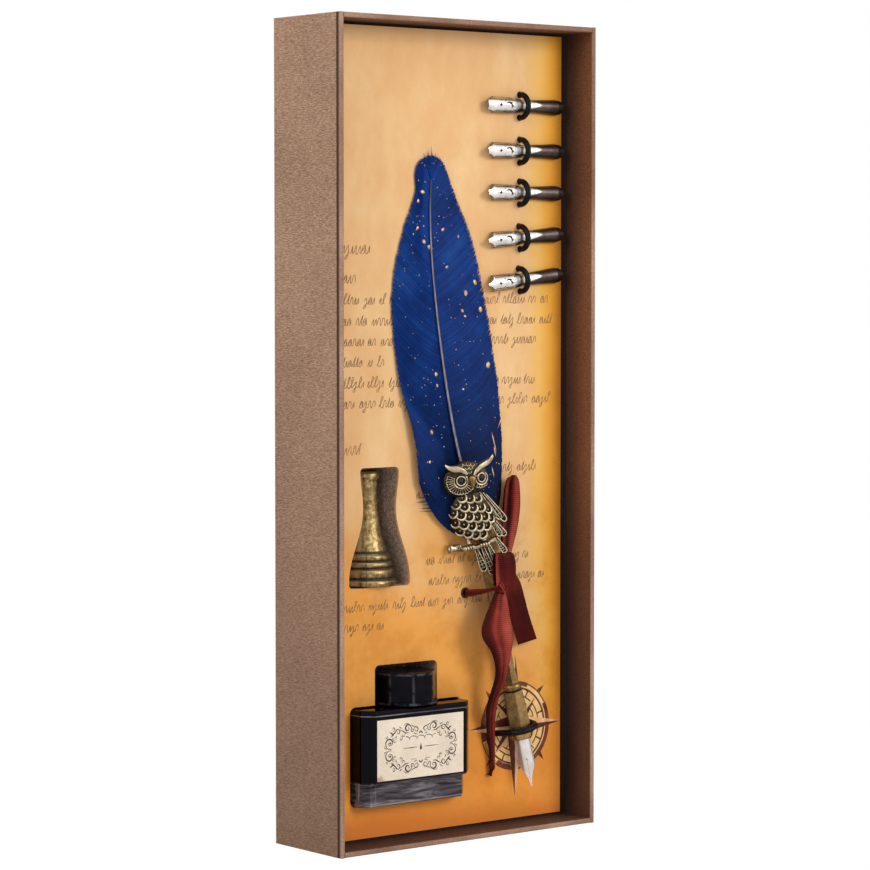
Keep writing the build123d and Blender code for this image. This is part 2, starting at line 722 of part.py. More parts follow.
def feather_shaft():
    """The quill: it stands in the barrel's bore and comes down to lie on the vane."""
    front_of_vane = card_face_depth - vane_lift - vane_thickness
    frame = pen_frame()
    root = frame * Pos(0, 0, barrel_top - quill_bore_depth + 0.5)
    mouth = frame * Pos(0, 0, barrel_top + 2.0)
    points = [root.position, mouth.position]
    radii = [quill_bore_radius - fit_gap] * 2
    for x, z, radius, lift in shaft_line:
        points.append(Vector(x, at_depth(front_of_vane - radius - lift), z))
        radii.append(radius)
    in_bore = points[1] - points[0]
    straight = Solid.extrude((Plane(origin=points[0], z_dir=in_bore) * Circle(radii[0])).face(), in_bore)
    directions = [in_bore]
    directions += [points[i + 1] - points[i - 1] for i in range(2, len(points) - 1)]
    directions.append(points[-1] - points[-2])
    sections = [
        Plane(origin=point, z_dir=direction) * Circle(radius)
        for point, direction, radius in zip(points[1:], directions, radii[1:])
    ]
    return straight + loft(sections)


# ---------------------------------------------------------------- owl
# a cast owl on a branch, held to the ferrule by a sleeve. Its places are (across, up the pen);
# heights are from the pen's axis towards the front
owl_back = ferrule_radius + fit_gap
owl_body_middle = (-4.0, 71.6)
owl_body_half = (7.5, 9.9)
owl_body_front = 6.0
owl_head_middle = (-3.8, 86.0)
owl_head_half = (8.4, 6.5)
owl_head_front = 6.0
owl_eyes = ((-5.9, 85.9), (2.3, 85.4))
owl_eye_radius = 2.35
owl_rim = 0.45
owl_inner_ring = 0.65          # of the eye's radius
owl_pupil_radius = 0.8
owl_dome_round = 1.6
owl_brow_lean = 14.0
# each brow: its tip, the middle of its bend, its end at the beak and its width
owl_brows = (
    ((-10.4, 93.2), (-5.6, 91.0), (-1.7, 86.9), 2.2),
    ((8.0, 91.6), (3.4, 90.2), (-1.0, 86.9), 2.0),
)
owl_beak = ((-2.6, 86.6), (0.0, 86.4), (-1.5, 82.6))
feather_rim = 0.38
feather_sunk = 0.45
scale_radius = 1.95
scale_rim = 0.35
scale_lean = 14.0
scale_thickness = 0.9
body_fall = 1.1                # from the middle of the breast to its edge
scale_rows = (
    ((-6.4, 78.6), (-3.2, 78.2)),
    ((-8.6, 76.0), (-5.4, 75.4), (-2.0, 75.0)),
    ((-10.0, 72.9), (-7.0, 72.2), (-3.6, 71.8), (-0.4, 71.4)),
    ((-8.8, 69.2), (-5.4, 68.8), (-2.2, 68.4), (0.8, 68.0)),
    ((-9.4, 66.2), (-6.8, 65.4), (-3.8, 65.0), (-0.8, 64.8)),
)
# each long feather: root, tip, half width, back and front heights
wing_feathers = (
    ((2.0, 79.2), (5.0, 70.2), 1.3, 3.2, 5.0),
    ((3.4, 78.0), (6.9, 69.4), 1.25, 2.7, 4.4),
    ((4.6, 76.6), (8.6, 67.8), 1.2, 2.2, 3.8),
    ((3.4, 68.2), (5.6, 62.4), 1.15, 2.6, 4.0),
    ((4.9, 67.8), (7.2, 62.0), 1.1, 2.2, 3.4),
    ((4.2, 61.2), (5.9, 56.0), 1.1, 2.4, 3.6),
)
tail_feathers = (
    ((-4.1, 58.4), (-3.2, 50.2), 1.2, 3.35, 4.4),
    ((-1.4, 58.4), (-0.6, 48.4), 1.2, 3.35, 4.2),
)
branch_line = ((-13.0, 60.6), (-4.8, 58.9), (3.4, 60.3))
branch_radius = 1.35
branch_height = 4.9
branch_flare = 0.35
branch_flare_end = (-11.4, 60.27)
toe_half_width = 1.3
toe_thickness = 0.45
owl_feet = ((-6.6, 59.2), (-0.9, 59.5))
sleeve_radius = 4.2


def relief(sketch, back, front):
    """A raised form on the pen's front between two heights above its axis."""
    drawing = Plane(origin=(0, -back, 0), x_dir=(1, 0, 0), z_dir=(0, -1, 0))
    return extrude(drawing * sketch, amount=front - back)


def domed(half_across, half_up, middle, front, rounding):
    dome = relief(Pos(*middle) * Ellipse(half_across, half_up), owl_back, front)
    return fillet(dome.edges().group_by(Axis.Y)[0], rounding)


def long_feather(root, tip, half_width, back, front):
    """A rounded bar with a raised rim round a sunk middle."""
    along = Vector(*tip) - Vector(*root)
    place = Pos((root[0] + tip[0]) / 2, (root[1] + tip[1]) / 2)
    place *= Rot(0, 0, degrees(atan2(along.Y, along.X)))
    bar = relief(place * SlotCenterToCenter(along.length, 2 * half_width), back, front)
    sunk = SlotCenterToCenter(along.length, 2 * (half_width - feather_rim))
    return bar - relief(place * sunk, front - feather_sunk, front + 0.1)


def body_scale(middle):
    """One breast feather: a disc that leans out at its lower edge and has a raised rim."""
    from_middle = hypot((middle[0] - owl_body_middle[0]) / owl_body_half[0],
                        (middle[1] - owl_body_middle[1]) / owl_body_half[1])
    height = owl_body_front - body_fall * from_middle ** 2
    disc = Cylinder(scale_radius, scale_thickness)
    disc -= Pos(0, 0, scale_thickness / 2) * Cylinder(scale_radius - scale_rim, 0.4)
    return Pos(middle[0], -height, middle[1]) * Rot(90 + scale_lean, 0, 0) * disc


def brow(tip, bend, inner, width):
    """A feathered brow that leans back from the beak to its tip."""
    upper = ThreePointArc(tip, (bend[0], bend[1] + width / 2), inner)
    lower = ThreePointArc(inner, (bend[0] + 0.2, bend[1] - width / 2), tip)
    raised = relief(make_face([upper, lower]), owl_head_front - 1.5, owl_head_front + 0.6)
    lean = owl_brow_lean if tip[0] > inner[0] else -owl_brow_lean
    root = Pos(inner[0], -owl_head_front, 0)
    return root * Rot(0, 0, lean) * root.inverse() * raised


def between(start, end, radius, height):
    """A round bar between two points at one height above the pen's axis."""
    a, b = Vector(start[0], -height, start[1]), Vector(end[0], -height, end[1])
    return Solid.extrude((Plane(origin=a, z_dir=b - a) * Circle(radius)).face(), b - a)


def owl_ornament():
    front = owl_head_front
    owl = domed(*owl_body_half, owl_body_middle, owl_body_front, owl_dome_round)
    owl += domed(*owl_head_half, owl_head_middle, front, owl_dome_round)
    for row in scale_rows:
        for middle in row:
            owl += body_scale(middle)
    inner_ring = owl_inner_ring * owl_eye_radius
    for x, z in owl_eyes:
        owl += relief(Pos(x, z) * Circle(owl_eye_radius), front - 1.8, front + 0.3)
        owl -= relief(Pos(x, z) * Circle(owl_eye_radius - owl_rim), front - 0.3, front + 1)
        owl += relief(Pos(x, z) * Circle(inner_ring), front - 0.4, front + 0.2)
        owl -= relief(Pos(x, z) * Circle(inner_ring - owl_rim), front - 0.2, front + 1)
        owl += Pos(x, -front + 0.4, z) * Sphere(owl_pupil_radius)
    for feather in wing_feathers + tail_feathers:
        owl += long_feather(*feather)
    for tip, bend, inner, width in owl_brows:
        owl += brow(tip, bend, inner, width)
    owl += relief(make_face(Polyline(*owl_beak, close=True)), front - 1.5, front + 0.9)
    for start, end in zip(branch_line, branch_line[1:]):
        owl += between(start, end, branch_radius, branch_height)
    owl += Pos(branch_line[1][0], -branch_height, branch_line[1][1]) * Sphere(branch_radius)
    owl += between(branch_line[0], branch_flare_end, branch_radius + branch_flare, branch_height)
    for x, z in owl_feet:
        start, end = (x - toe_half_width, z + 0.1), (x + toe_half_width, z - 0.1)
        owl += between(start, end, branch_radius + toe_thickness, branch_height)
    sleeve_low, sleeve_high = barrel_top - ferrule_length + 1.0, barrel_top
    sleeve_length = sleeve_high - sleeve_low
    owl += Pos(0, 0, sleeve_low) * Cylinder(sleeve_radius, sleeve_length, align=standing)
    owl -= Pos(0, 0, sleeve_low - 5) * Cylinder(owl_back, sleeve_length + 10, align=standing)
    return pen_frame() * owl


# ---------------------------------------------------------------- the set
def pieces():
    named = {
        "back_board": back_board(),
        "left_side_wall": side_wall(-1),
        "right_side_wall": side_wall(1),
        "bottom_end_wall": end_wall(0),
        "top_end_wall": end_wall(box_height - board),
        "base_foam_sheet": base_foam_sheet(),
        "middle_foam_layer": middle_foam_layer(),
        "upper_foam_layer": upper_foam_layer(),
        "printed_card": printed_card(),
        "pen_elastic": pen_elastic(),
        "tie_ribbon": tie_ribbon(),
        "bottle_glass": bottle_glass(),
        "ink": ink(),
        "bottle_label": bottle_label(),
        "bottle_cap": bottle_cap(),
        "cap_liner": cap_liner(),
        "pen_stand": pen_stand(),
        "pen_barrel": pen_barrel(),
        "pen_grip": pen_grip(),
        "nib_collar": nib_collar(),
        "pen_nib": pen_nib(),
        "owl_ornament": owl_ornament(),
        "feather_shaft": feather_shaft(),
        "feather_vane": feather_vane(),
    }
    for number, (below_top, tilt, point_width) in enumerate(spare_nibs, start=1):
        named[f"spare_nib_{number}"] = spare_nib(below_top, tilt, point_width)
        named[f"spare_nib_elastic_{number}"] = spare_nib_elastic(below_top, tilt)
    return named


os.makedirs("parts", exist_ok=True)
for name, piece in pieces().items():
    export_step(piece, f"parts/{name}.step")
    print(f"{name}: {piece.volume:.1f} mm3")
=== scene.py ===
import math
import random

import bmesh
import bpy
from mathutils import Euler, Matrix, Vector


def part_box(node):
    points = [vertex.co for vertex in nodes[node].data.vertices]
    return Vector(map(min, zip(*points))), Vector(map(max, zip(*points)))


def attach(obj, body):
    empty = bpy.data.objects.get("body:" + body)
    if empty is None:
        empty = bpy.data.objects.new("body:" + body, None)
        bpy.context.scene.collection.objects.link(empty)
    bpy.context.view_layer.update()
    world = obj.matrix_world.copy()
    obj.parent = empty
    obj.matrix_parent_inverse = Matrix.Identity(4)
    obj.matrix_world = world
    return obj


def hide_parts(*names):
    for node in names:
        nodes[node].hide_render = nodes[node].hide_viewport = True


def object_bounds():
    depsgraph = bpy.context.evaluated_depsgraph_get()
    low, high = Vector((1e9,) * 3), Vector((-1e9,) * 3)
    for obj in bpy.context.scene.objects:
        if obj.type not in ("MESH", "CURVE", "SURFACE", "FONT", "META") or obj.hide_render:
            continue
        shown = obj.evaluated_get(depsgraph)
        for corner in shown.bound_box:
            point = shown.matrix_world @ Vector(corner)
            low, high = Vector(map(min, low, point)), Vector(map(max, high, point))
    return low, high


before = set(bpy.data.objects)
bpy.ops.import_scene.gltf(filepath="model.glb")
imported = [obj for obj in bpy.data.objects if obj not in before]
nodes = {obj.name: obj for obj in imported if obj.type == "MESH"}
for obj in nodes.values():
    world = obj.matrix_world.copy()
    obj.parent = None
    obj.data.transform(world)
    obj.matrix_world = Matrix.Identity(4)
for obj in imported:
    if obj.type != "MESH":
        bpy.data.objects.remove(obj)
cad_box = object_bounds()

# A calligraphy set in its open presentation box. Lengths are in metres in the frame of the
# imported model: the box stands on its short end, and its open front faces -Y.

mm = 0.001
case_low, case_high = cad_box
front_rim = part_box("left_side_wall")[0].y
to_front = (0, -1, 0)
spare_numbers = range(1, 6)


# ------------------------------------------------------------------ places
def at(x, depth, z):
    """A point from millimetres: across, inwards from the front rim, and up."""
    return Vector((x * mm, front_rim + depth * mm, z * mm))


# how far behind the front rim the card's face lies
card_face = 14.0
# the pen leans to the left by its tilt and is turned about itself by its roll
pen_tilt = math.radians(13.5)
pen_roll = math.radians(30.0)
ring_place = at(27.7, 9.2, 54.6)
pen_level = Vector((math.cos(pen_tilt), 0, math.sin(pen_tilt)))
pen_up = Vector((-math.sin(pen_tilt), 0, math.cos(pen_tilt)))
pen_across = math.cos(pen_roll) * pen_level - math.sin(pen_roll) * Vector((0, 1, 0))
pen_front = -(math.sin(pen_roll) * pen_level + math.cos(pen_roll) * Vector((0, 1, 0)))


def on_pen(across, up, front):
    """A point in the pen's own frame, from millimetres from its ring."""
    return ring_place + mm * (across * pen_across + up * pen_up + front * pen_front)


# ------------------------------------------------------------------ colours
def linear(level):
    level /= 255
    return level / 12.92 if level <= 0.04045 else ((level + 0.055) / 1.055) ** 2.4


def shade(red, green, blue):
    """A colour from its levels of 0 to 255 as seen."""
    return (linear(red), linear(green), linear(blue), 1.0)


# ------------------------------------------------------------------ nodes
def set_stops(ramp, wanted):
    while len(ramp.elements) < len(wanted):
        ramp.elements.new(0.5)
    for element, (position, colour) in zip(ramp.elements, wanted):
        element.position = position
        element.color = colour


def add_node(tree, kind, settings=None, sockets=None):
    """A new node: its settings are made first, and then its sockets get their values or links."""
    made = tree.nodes.new(kind)
    for name, value in (settings or {}).items():
        if name == "stops":
            set_stops(made.color_ramp, value)
        else:
            setattr(made, name, value)
    for socket, value in (sockets or {}).items():
        if isinstance(value, bpy.types.NodeSocket):
            tree.links.new(value, made.inputs[socket])
        else:
            made.inputs[socket].default_value = value
    return made


class Wire:
    """One output of a shader node. Arithmetic on it adds Math nodes."""

    def __init__(self, finish, socket):
        self.finish = finish
        self.socket = socket

    def maths(self, operation, first, second=0.0):
        return self.finish.node("ShaderNodeMath", {"operation": operation}, {0: first, 1: second})

    def __add__(self, other):
        return self.maths("ADD", self, other)

    def __radd__(self, other):
        return self.maths("ADD", other, self)

    def __sub__(self, other):
        return self.maths("SUBTRACT", self, other)

    def __rsub__(self, other):
        return self.maths("SUBTRACT", other, self)

    def __mul__(self, other):
        return self.maths("MULTIPLY", self, other)

    def __rmul__(self, other):
        return self.maths("MULTIPLY", other, self)

    def __truediv__(self, other):
        return self.maths("DIVIDE", self, other)

    def __pow__(self, other):
        return self.maths("POWER", self, other)

    def absolute(self):
        return self.maths("ABSOLUTE", self)

    def larger(self, other):
        return self.maths("MAXIMUM", self, other)

    def sine(self):
        return self.maths("SINE", self)

    def band(self, middle, half):
        """1 on a line at middle, falling softly to 0 at half away from it."""
        return (self - middle).absolute().ramp(half, 0.35 * half)

    def ramp(self, low, high, start=0.0, end=1.0):
        """From start to end, softly, as the value goes from low to high."""
        return self.finish.node(
            "ShaderNodeMapRange",
            {"interpolation_type": "SMOOTHSTEP"},
            {"Value": self, "From Min": low, "From Max": high, "To Min": start, "To Max": end},
        )


class Finish:
    """A material with one principled shader, and the nodes that feed it."""

    def __init__(self, name, **constants):
        self.material = bpy.data.materials.new(name)
        self.material.use_nodes = True
        self.tree = self.material.node_tree
        self.tree.nodes.clear()
        self.shader = add_node(self.tree, "ShaderNodeBsdfPrincipled")
        self.output = add_node(self.tree, "ShaderNodeOutputMaterial", {}, {0: self.shader.outputs[0]})
        for socket, value in constants.items():
            self.set(socket.replace("_", " ").title().replace("Ior", "IOR"), value)

    def set(self, socket, value):
        if isinstance(value, Wire):
            self.tree.links.new(value.socket, self.shader.inputs[socket])
        else:
            self.shader.inputs[socket].default_value = value

    def node(self, kind, settings=None, sockets=None, output=0):
        plain = {}
        for socket, value in (sockets or {}).items():
            plain[socket] = value.socket if isinstance(value, Wire) else value
        return Wire(self, add_node(self.tree, kind, settings, plain).outputs[output])

    def place(self):
        return self.node("ShaderNodeTexCoord", output="Object")

    def split(self, vector, letters="XYZ"):
        """The wanted coordinates of a vector."""
        parts = add_node(self.tree, "ShaderNodeSeparateXYZ", {}, {0: vector.socket}).outputs
        return [Wire(self, parts[letter]) for letter in letters]

    def stretched(self, vector, scale, turn=(0, 0, 0), centre=(0, 0, 0)):
        """The vector as seen from a centre, turned and scaled."""
        moved = self.node("ShaderNodeVectorMath", {"operation": "SUBTRACT"}, {0: vector, 1: centre})
        return self.node("ShaderNodeMapping", {}, {0: moved, "Rotation": turn, "Scale": scale})

    def noise(self, vector, scale=1.0, detail=3.0, roughness=0.55, distortion=0.0):
        sizes = {"Scale": scale, "Detail": detail, "Roughness": roughness, "Distortion": distortion}
        return self.node("ShaderNodeTexNoise", {}, {"Vector": vector, **sizes})

    def cells(self, vector, scale):
        return self.node("ShaderNodeTexVoronoi", {}, {"Vector": vector, "Scale": scale}, "Distance")

    def mix(self, first, second, factor):
        """From the first colour to the second by the factor."""
        return self.node("ShaderNodeMix", {"data_type": "RGBA"}, {0: factor, 6: first, 7: second}, 2)

    def colours(self, factor, *wanted):
        return self.node("ShaderNodeValToRGB", {"stops": wanted}, {0: factor})

    def hollow(self, reach):
        """1 in the open, falling towards 0 in hollows of about this reach."""
        return self.node("ShaderNodeAmbientOcclusion", {"samples": 8}, {"Distance": reach}, "AO")

    def rings(self, height, half, places):
        """1 on rings at these heights in millimetres, falling softly to 0 beside them."""
        found = height.band(places[0] * mm, half)
        for place in places[1:]:
            found = found.larger(height.band(place * mm, half))
        return found

    def facing(self, direction):
        """1 where the surface faces this way, 0 where it lies along it."""
        normal = self.node("ShaderNodeTexCoord", output="Normal")
        product = {"operation": "DOT_PRODUCT"}
        return self.node("ShaderNodeVectorMath", product, {0: normal, 1: direction}, "Value")

    def relief(self, height, distance, strength=1.0):
        sizes = {"Strength": strength, "Distance": distance, "Height": height}
        self.set("Normal", self.node("ShaderNodeBump", {}, sizes))


# ------------------------------------------------------------------ meshes
def new_object(name, mesh):
    made = bpy.data.objects.new(name, mesh)
    bpy.context.scene.collection.objects.link(made)
    return made


def paint(piece, material, smooth=True):
    piece.data.materials.clear()
    piece.data.materials.append(material)
    piece.data.polygons.foreach_set("use_smooth", [smooth] * len(piece.data.polygons))
    piece.data.update()


def made_of(name, body, material=None, smooth=True):
    """An object from a bmesh, which is freed."""
    mesh = bpy.data.meshes.new(name)
    body.to_mesh(mesh)
    body.free()
    made = new_object(name, mesh)
    if material:
        paint(made, material, smooth)
    return made


def store(mesh, name, values):
    """Keeps a number or a vector for each point of a mesh."""
    if isinstance(values[0], float):
        mesh.attributes.new(name, "FLOAT", "POINT").data.foreach_set("value", values)
    else:
        flat = [part for value in values for part in value]
        mesh.attributes.new(name, "FLOAT_VECTOR", "POINT").data.foreach_set("vector", flat)


def distances(points):
    """How far along a line each of its points is."""
    travelled = [0.0]
    for before, after in zip(points, points[1:]):
        travelled.append(travelled[-1] + (after - before).length)
    return travelled


def skin(name, rows, material, closed=False):
    """A sheet through rows of points. Its UV map holds the distance across and along in metres."""
    mesh = bpy.data.meshes.new(name)
    across = len(rows[0])
    faces = []
    for row in range(len(rows) - 1):
        here, ahead = row * across, (row + 1) * across
        for column in range(across if closed else across - 1):
            beside = (column + 1) % across
            faces.append((here + column, here + beside, ahead + beside, ahead + column))
    mesh.from_pydata([point for row in rows for point in row], [], faces)
    along = distances([row[across // 2] for row in rows])
    wide = []
    for row in rows:
        steps = distances(row)
        wide += [step - steps[-1] / 2 for step in steps]
    layer = mesh.uv_layers.new(name="along")
    for loop in mesh.loops:
        vertex = loop.vertex_index
        layer.data[loop.index].uv = (wide[vertex], along[vertex // across])
    made = new_object(name, mesh)
    paint(made, material)
    return made


def bake_modifiers(piece):
    graph = bpy.context.evaluated_depsgraph_get()
    made = bpy.data.meshes.new_from_object(
        piece.evaluated_get(graph), preserve_all_data_layers=True, depsgraph=graph
    )
    piece.modifiers.clear()
    piece.data = made


def thicken(piece, thickness):
    """Gives an open sheet its thickness, as a closed mesh."""
    solidify = piece.modifiers.new("thickness", "SOLIDIFY")
    solidify.thickness = thickness
    solidify.offset = 0.0
    bake_modifiers(piece)


def turned(name, profile, base, up, material, sides=56):
    """A turned piece: (radius, height) places in millimetres from its base around an axis. Where
    the profile doesn't start and end on the axis, it closes on itself, as a tube's does."""
    up = up.normalized()
    aside = up.orthogonal().normalized()
    beside = up.cross(aside)
    body = bmesh.new()
    loops = []
    for radius, height in profile:
        middle = base + up * height * mm
        loop = []
        for side in range(sides if radius else 1):
            angle = 2 * math.pi * side / sides
            outward = aside * math.cos(angle) + beside * math.sin(angle)
            loop.append(body.verts.new(middle + radius * mm * outward))
        loops.append(loop)
    if len(loops[0]) > 1:
        loops.append(loops[0])
    for before, after in zip(loops, loops[1:]):
        for side in range(sides):
            beyond = side + 1
            corners = (before[side % len(before)], before[beyond % len(before)],
                       after[beyond % len(after)], after[side % len(after)])
            body.faces.new(list(dict.fromkeys(corners)))
    bmesh.ops.recalc_face_normals(body, faces=body.faces)
    return made_of(name, body, material)


def joined(name, pieces):
    """One object from several, with their materials."""
    body = bmesh.new()
    materials = []
    for piece in pieces:
        shift = len(body.faces)
        body.from_mesh(piece.data)
        body.faces.ensure_lookup_table()
        for face in body.faces[shift:]:
            material = piece.data.materials[face.material_index]
            if material not in materials:
                materials.append(material)
            face.material_index = materials.index(material)
    for piece in pieces:
        bpy.data.objects.remove(piece)
    made = made_of(name, body)
    for material in materials:
        made.data.materials.append(material)
    return made


# ------------------------------------------------------------------ geometry trees
class Tree:
    """A Geometry Nodes tree with named inputs for its sizes."""

    def __init__(self, name):
        self.group = bpy.data.node_groups.new(name, "GeometryNodeTree")
        for way in ("INPUT", "OUTPUT"):
            self.group.interface.new_socket("Geometry", in_out=way, socket_type="NodeSocketGeometry")
        self.entry = self.group.nodes.new("NodeGroupInput")
        self.identifiers = {}

    def start(self):
        return self.entry.outputs["Geometry"]

    def size(self, name):
        socket = self.group.interface.new_socket(name, in_out="INPUT", socket_type="NodeSocketFloat")
        self.identifiers[name] = socket.identifier
        return self.entry.outputs[name]

    def node(self, kind, settings=None, sockets=None, output=0):
        return add_node(self.group, kind, settings, sockets).outputs[output]

    def stored(self, name, kind="FLOAT_VECTOR"):
        return self.node("GeometryNodeInputNamedAttribute", {"data_type": kind}, {"Name": name})

    def finish(self, geometry, material):
        whole = self.node("GeometryNodeRealizeInstances", {}, {0: geometry})
        smooth = self.node("GeometryNodeSetShadeSmooth", {}, {0: whole})
        painted = self.node("GeometryNodeSetMaterial", {}, {0: smooth, "Material": material})
        add_node(self.group, "NodeGroupOutput", {}, {0: painted})

    def work(self, piece, sizes):
        """Turns the piece into the plain mesh that the tree makes of it."""
        modifier = piece.modifiers.new("tree", "NODES")
        modifier.node_group = self.group
        for name, value in sizes.items():
            modifier[self.identifiers[name]] = value
        bake_modifiers(piece)


def swept(name, lines, material, sides=8, flatness=1.0):
    """Bars along lines of (point, width, facing), each with a tint where it has one. A round
    section is made flat, as a strip with a low ridge, by its flatness."""
    points, edges, widths, facings, tints = [], [], [], [], []
    for line in lines:
        first = len(points)
        for point, width, facing, *tint in line:
            points.append(point)
            widths.append(width)
            facings.append(facing)
            tints.append(tint[0] if tint else 0.5)
        edges += [(index, index + 1) for index in range(first, len(points) - 1)]
    mesh = bpy.data.meshes.new(name)
    mesh.from_pydata(points, edges, [])
    store(mesh, "width", widths)
    store(mesh, "facing", facings)
    store(mesh, "tint", tints)
    made = new_object(name, mesh)
    tree = Tree("swept_sections")
    whole = tree.size("Size factor")
    chain = tree.node("GeometryNodeMeshToCurve", {}, {0: tree.start()})
    normals = {0: chain, "Normal": tree.stored("facing")}
    faced = tree.node("GeometryNodeSetCurveNormal", {"mode": "FREE"}, normals)
    ring = tree.node("GeometryNodeCurvePrimitiveCircle", {}, {"Resolution": sides, "Radius": 1.0})
    section = tree.node("GeometryNodeTransform", {}, {0: ring, "Scale": (flatness, 1, 1)})
    sizes = {0: tree.stored("width", "FLOAT"), 1: whole}
    scale = tree.node("ShaderNodeMath", {"operation": "MULTIPLY"}, sizes)
    bars = tree.node("GeometryNodeCurveToMesh", {}, {0: faced, 1: section, "Scale": scale, "Fill Caps": True})
    tree.finish(bars, material)
    tree.work(made, {"Size factor": 1.0})
    return made


def copies(name, template, places, material):
    """Copies of a template object at (point, turn, size) places."""
    points, turns, sizes = zip(*places)
    mesh = bpy.data.meshes.new(name)
    mesh.from_pydata(points, [], [])
    store(mesh, "turn", turns)
    store(mesh, "size", sizes)
    made = new_object(name, mesh)
    tree = Tree("copies_of_" + template.name)
    whole = tree.size("Size factor")
    own_space = {"transform_space": "ORIGINAL"}
    shape = tree.node("GeometryNodeObjectInfo", own_space, {"Object": template}, "Geometry")
    turn = tree.node("FunctionNodeEulerToRotation", {}, {0: tree.stored("turn")})
    scaled = {0: tree.stored("size"), "Scale": whole}
    scale = tree.node("ShaderNodeVectorMath", {"operation": "SCALE"}, scaled)
    placing = {0: tree.start(), "Instance": shape, "Rotation": turn, "Scale": scale}
    tree.finish(tree.node("GeometryNodeInstanceOnPoints", {}, placing), material)
    tree.work(made, {"Size factor": 1.0})
    bpy.data.objects.remove(template)
    return made


# ------------------------------------------------------------------ smooth lines
def between(a, b, c, d, share):
    """A place between b and c on a smooth curve that comes from a and goes on to d."""
    return 0.5 * (2 * b + (c - a) * share + (2 * a - 5 * b + 4 * c - d) * share ** 2
                  + (3 * b - a - 3 * c + d) * share ** 3)


def spans(points):
    """Each point and the next, with the ones before and after them. The end points stand twice."""
    last = len(points) - 1
    return [(points[max(index - 1, 0)], points[index], points[index + 1], points[min(index + 2, last)])
            for index in range(last)]


def smooth_line(points, steps):
    """A smooth open line through points, with this many steps a span."""
    line = [between(*span, step / steps) for span in spans(points) for step in range(steps)]
    return line + [points[-1].copy()]


def smooth_values(rows, steps):
    """Rows of numbers with this many smooth steps between each pair."""
    made = []
    for span in spans(rows):
        for step in range(steps):
            made.append([between(*column, step / steps) for column in zip(*span)])
    return made + [list(rows[-1])]


def evenly(line, count):
    """This many points, evenly spaced along a line."""
    lengths = distances(line)
    spaced = []
    span = 0
    for index in range(count):
        wanted = lengths[-1] * index / (count - 1)
        while span < len(line) - 2 and lengths[span + 1] < wanted:
            span += 1
        share = (wanted - lengths[span]) / max(lengths[span + 1] - lengths[span], 1e-9)
        spaced.append(line[span].lerp(line[span + 1], min(share, 1.0)))
    return spaced


# ------------------------------------------------------------------ finishes
def wrapped_board():
    """Textured brown paper over board: crepe grain across, with painted shade inside the box and low on its
    outside, worn at the rim.
    """
    paper = Finish("textured_brown_paper", roughness=0.8, specular_ior_level=0.3)
    place = paper.place()
    x, y, z = paper.split(place)
    wrinkles = paper.noise(paper.stretched(place, (520, 520, 3300)), 1.0, 3.0, 0.55, 0.5)
    grain = paper.noise(paper.stretched(place, (1500, 1500, 6800)), 1.0, 2.0, 0.55, 0.2)
    clouds = paper.noise(place, 30.0, 2.0)
    crepe = 0.55 * wrinkles + 0.35 * grain + 0.1 * clouds
    outside = paper.colours(
        crepe,
        (0.36, shade(110, 80, 63)),
        (0.46, shade(148, 114, 91)),
        (0.54, shade(170, 134, 109)),
        (0.65, shade(202, 168, 138)),
    )
    # painted shade: the outside is darker towards the bottom, away from the light above
    outside = paper.mix(paper.mix(outside, shade(84, 58, 44), 0.5), outside, z.ramp(-0.03, 0.25))
    # painted shade: inside the box the same paper is painted darker, as it lies in shade
    inside = paper.colours(
        0.5 * grain + 0.35 * wrinkles + 0.15 * clouds,
        (0.36, shade(74, 42, 26)),
        (0.5, shade(118, 74, 46)),
        (0.66, shade(152, 102, 70)),
    )
    # painted shade: darker still low down and further in from the rim
    inside = paper.mix(inside, shade(44, 24, 24), z.ramp(0.16, 0.05) * 0.6)
    inside = paper.mix(inside, shade(36, 20, 18), y.ramp(front_rim + 1 * mm, front_rim + 13 * mm) * 0.68)
    rim = paper.colours(
        0.5 * grain + 0.5 * clouds,
        (0.36, shade(120, 88, 70)),
        (0.52, shade(156, 120, 99)),
        (0.68, shade(192, 158, 134)),
    )
    wrap = 0.6 * mm
    half_width = case_high.x - wrap
    on_side = x.absolute().ramp(half_width - 0.1 * mm, half_width)
    on_back = y.ramp(case_high.y - wrap, case_high.y - 0.8 * wrap)
    on_bottom = z.ramp(0.9 * wrap, 0.7 * wrap)
    on_top = z.ramp(case_high.z - 0.9 * wrap, case_high.z - 0.7 * wrap)
    shown_outside = on_side.larger(on_back).larger(on_bottom).larger(on_top)
    # a pressed line beside the rim of the side walls, where the wrap is folded over
    fold = y.band(front_rim + 1.5 * mm, 1.1 * mm) * on_side
    colour = paper.mix(inside, outside, shown_outside)
    colour = paper.mix(colour, shade(46, 27, 20), fold * 0.95)
    on_rim = y.ramp(front_rim + 0.75 * mm, front_rim + 0.15 * mm)
    paper.set("Base Color", paper.mix(colour, rim, on_rim))
    paper.relief(0.75 * wrinkles + 0.25 * grain - 0.8 * fold, 0.3 * mm, 0.6)
    return paper.material


def tray_foam():
    """Flocked foam: grey brown where it is cut, with painted shade in the gap round the card."""
    foam = Finish("flocked_tray_foam", roughness=0.95, specular_ior_level=0.15, sheen_weight=0.1)
    place = foam.place()
    x, z = foam.split(place, "XZ")
    pores = foam.cells(place, 1500.0)
    patches = foam.noise(place, 620.0, 3.0, 0.65)
    flock = foam.colours(
        0.45 * pores + 0.55 * patches,
        (0.25, shade(120, 94, 82)), (0.45, shade(170, 142, 127)), (0.62, shade(206, 182, 167)),
    )
    middle_z = 0.5 * (case_low.z + case_high.z)
    half_width, half_height, gap = 55.5 * mm, 151 * mm, 1 * mm
    # painted shade: the foam beside and beyond the card is darkened, as the narrow gap round it lies in shade
    aside = x.absolute().ramp(half_width, half_width + gap)
    beyond = (z - middle_z).absolute().ramp(half_height, half_height + gap)
    foam.set("Base Color", foam.mix(flock, shade(54, 36, 30), aside.larger(beyond)))
    foam.relief(pores, 0.25 * mm, 0.7)
    return foam.material


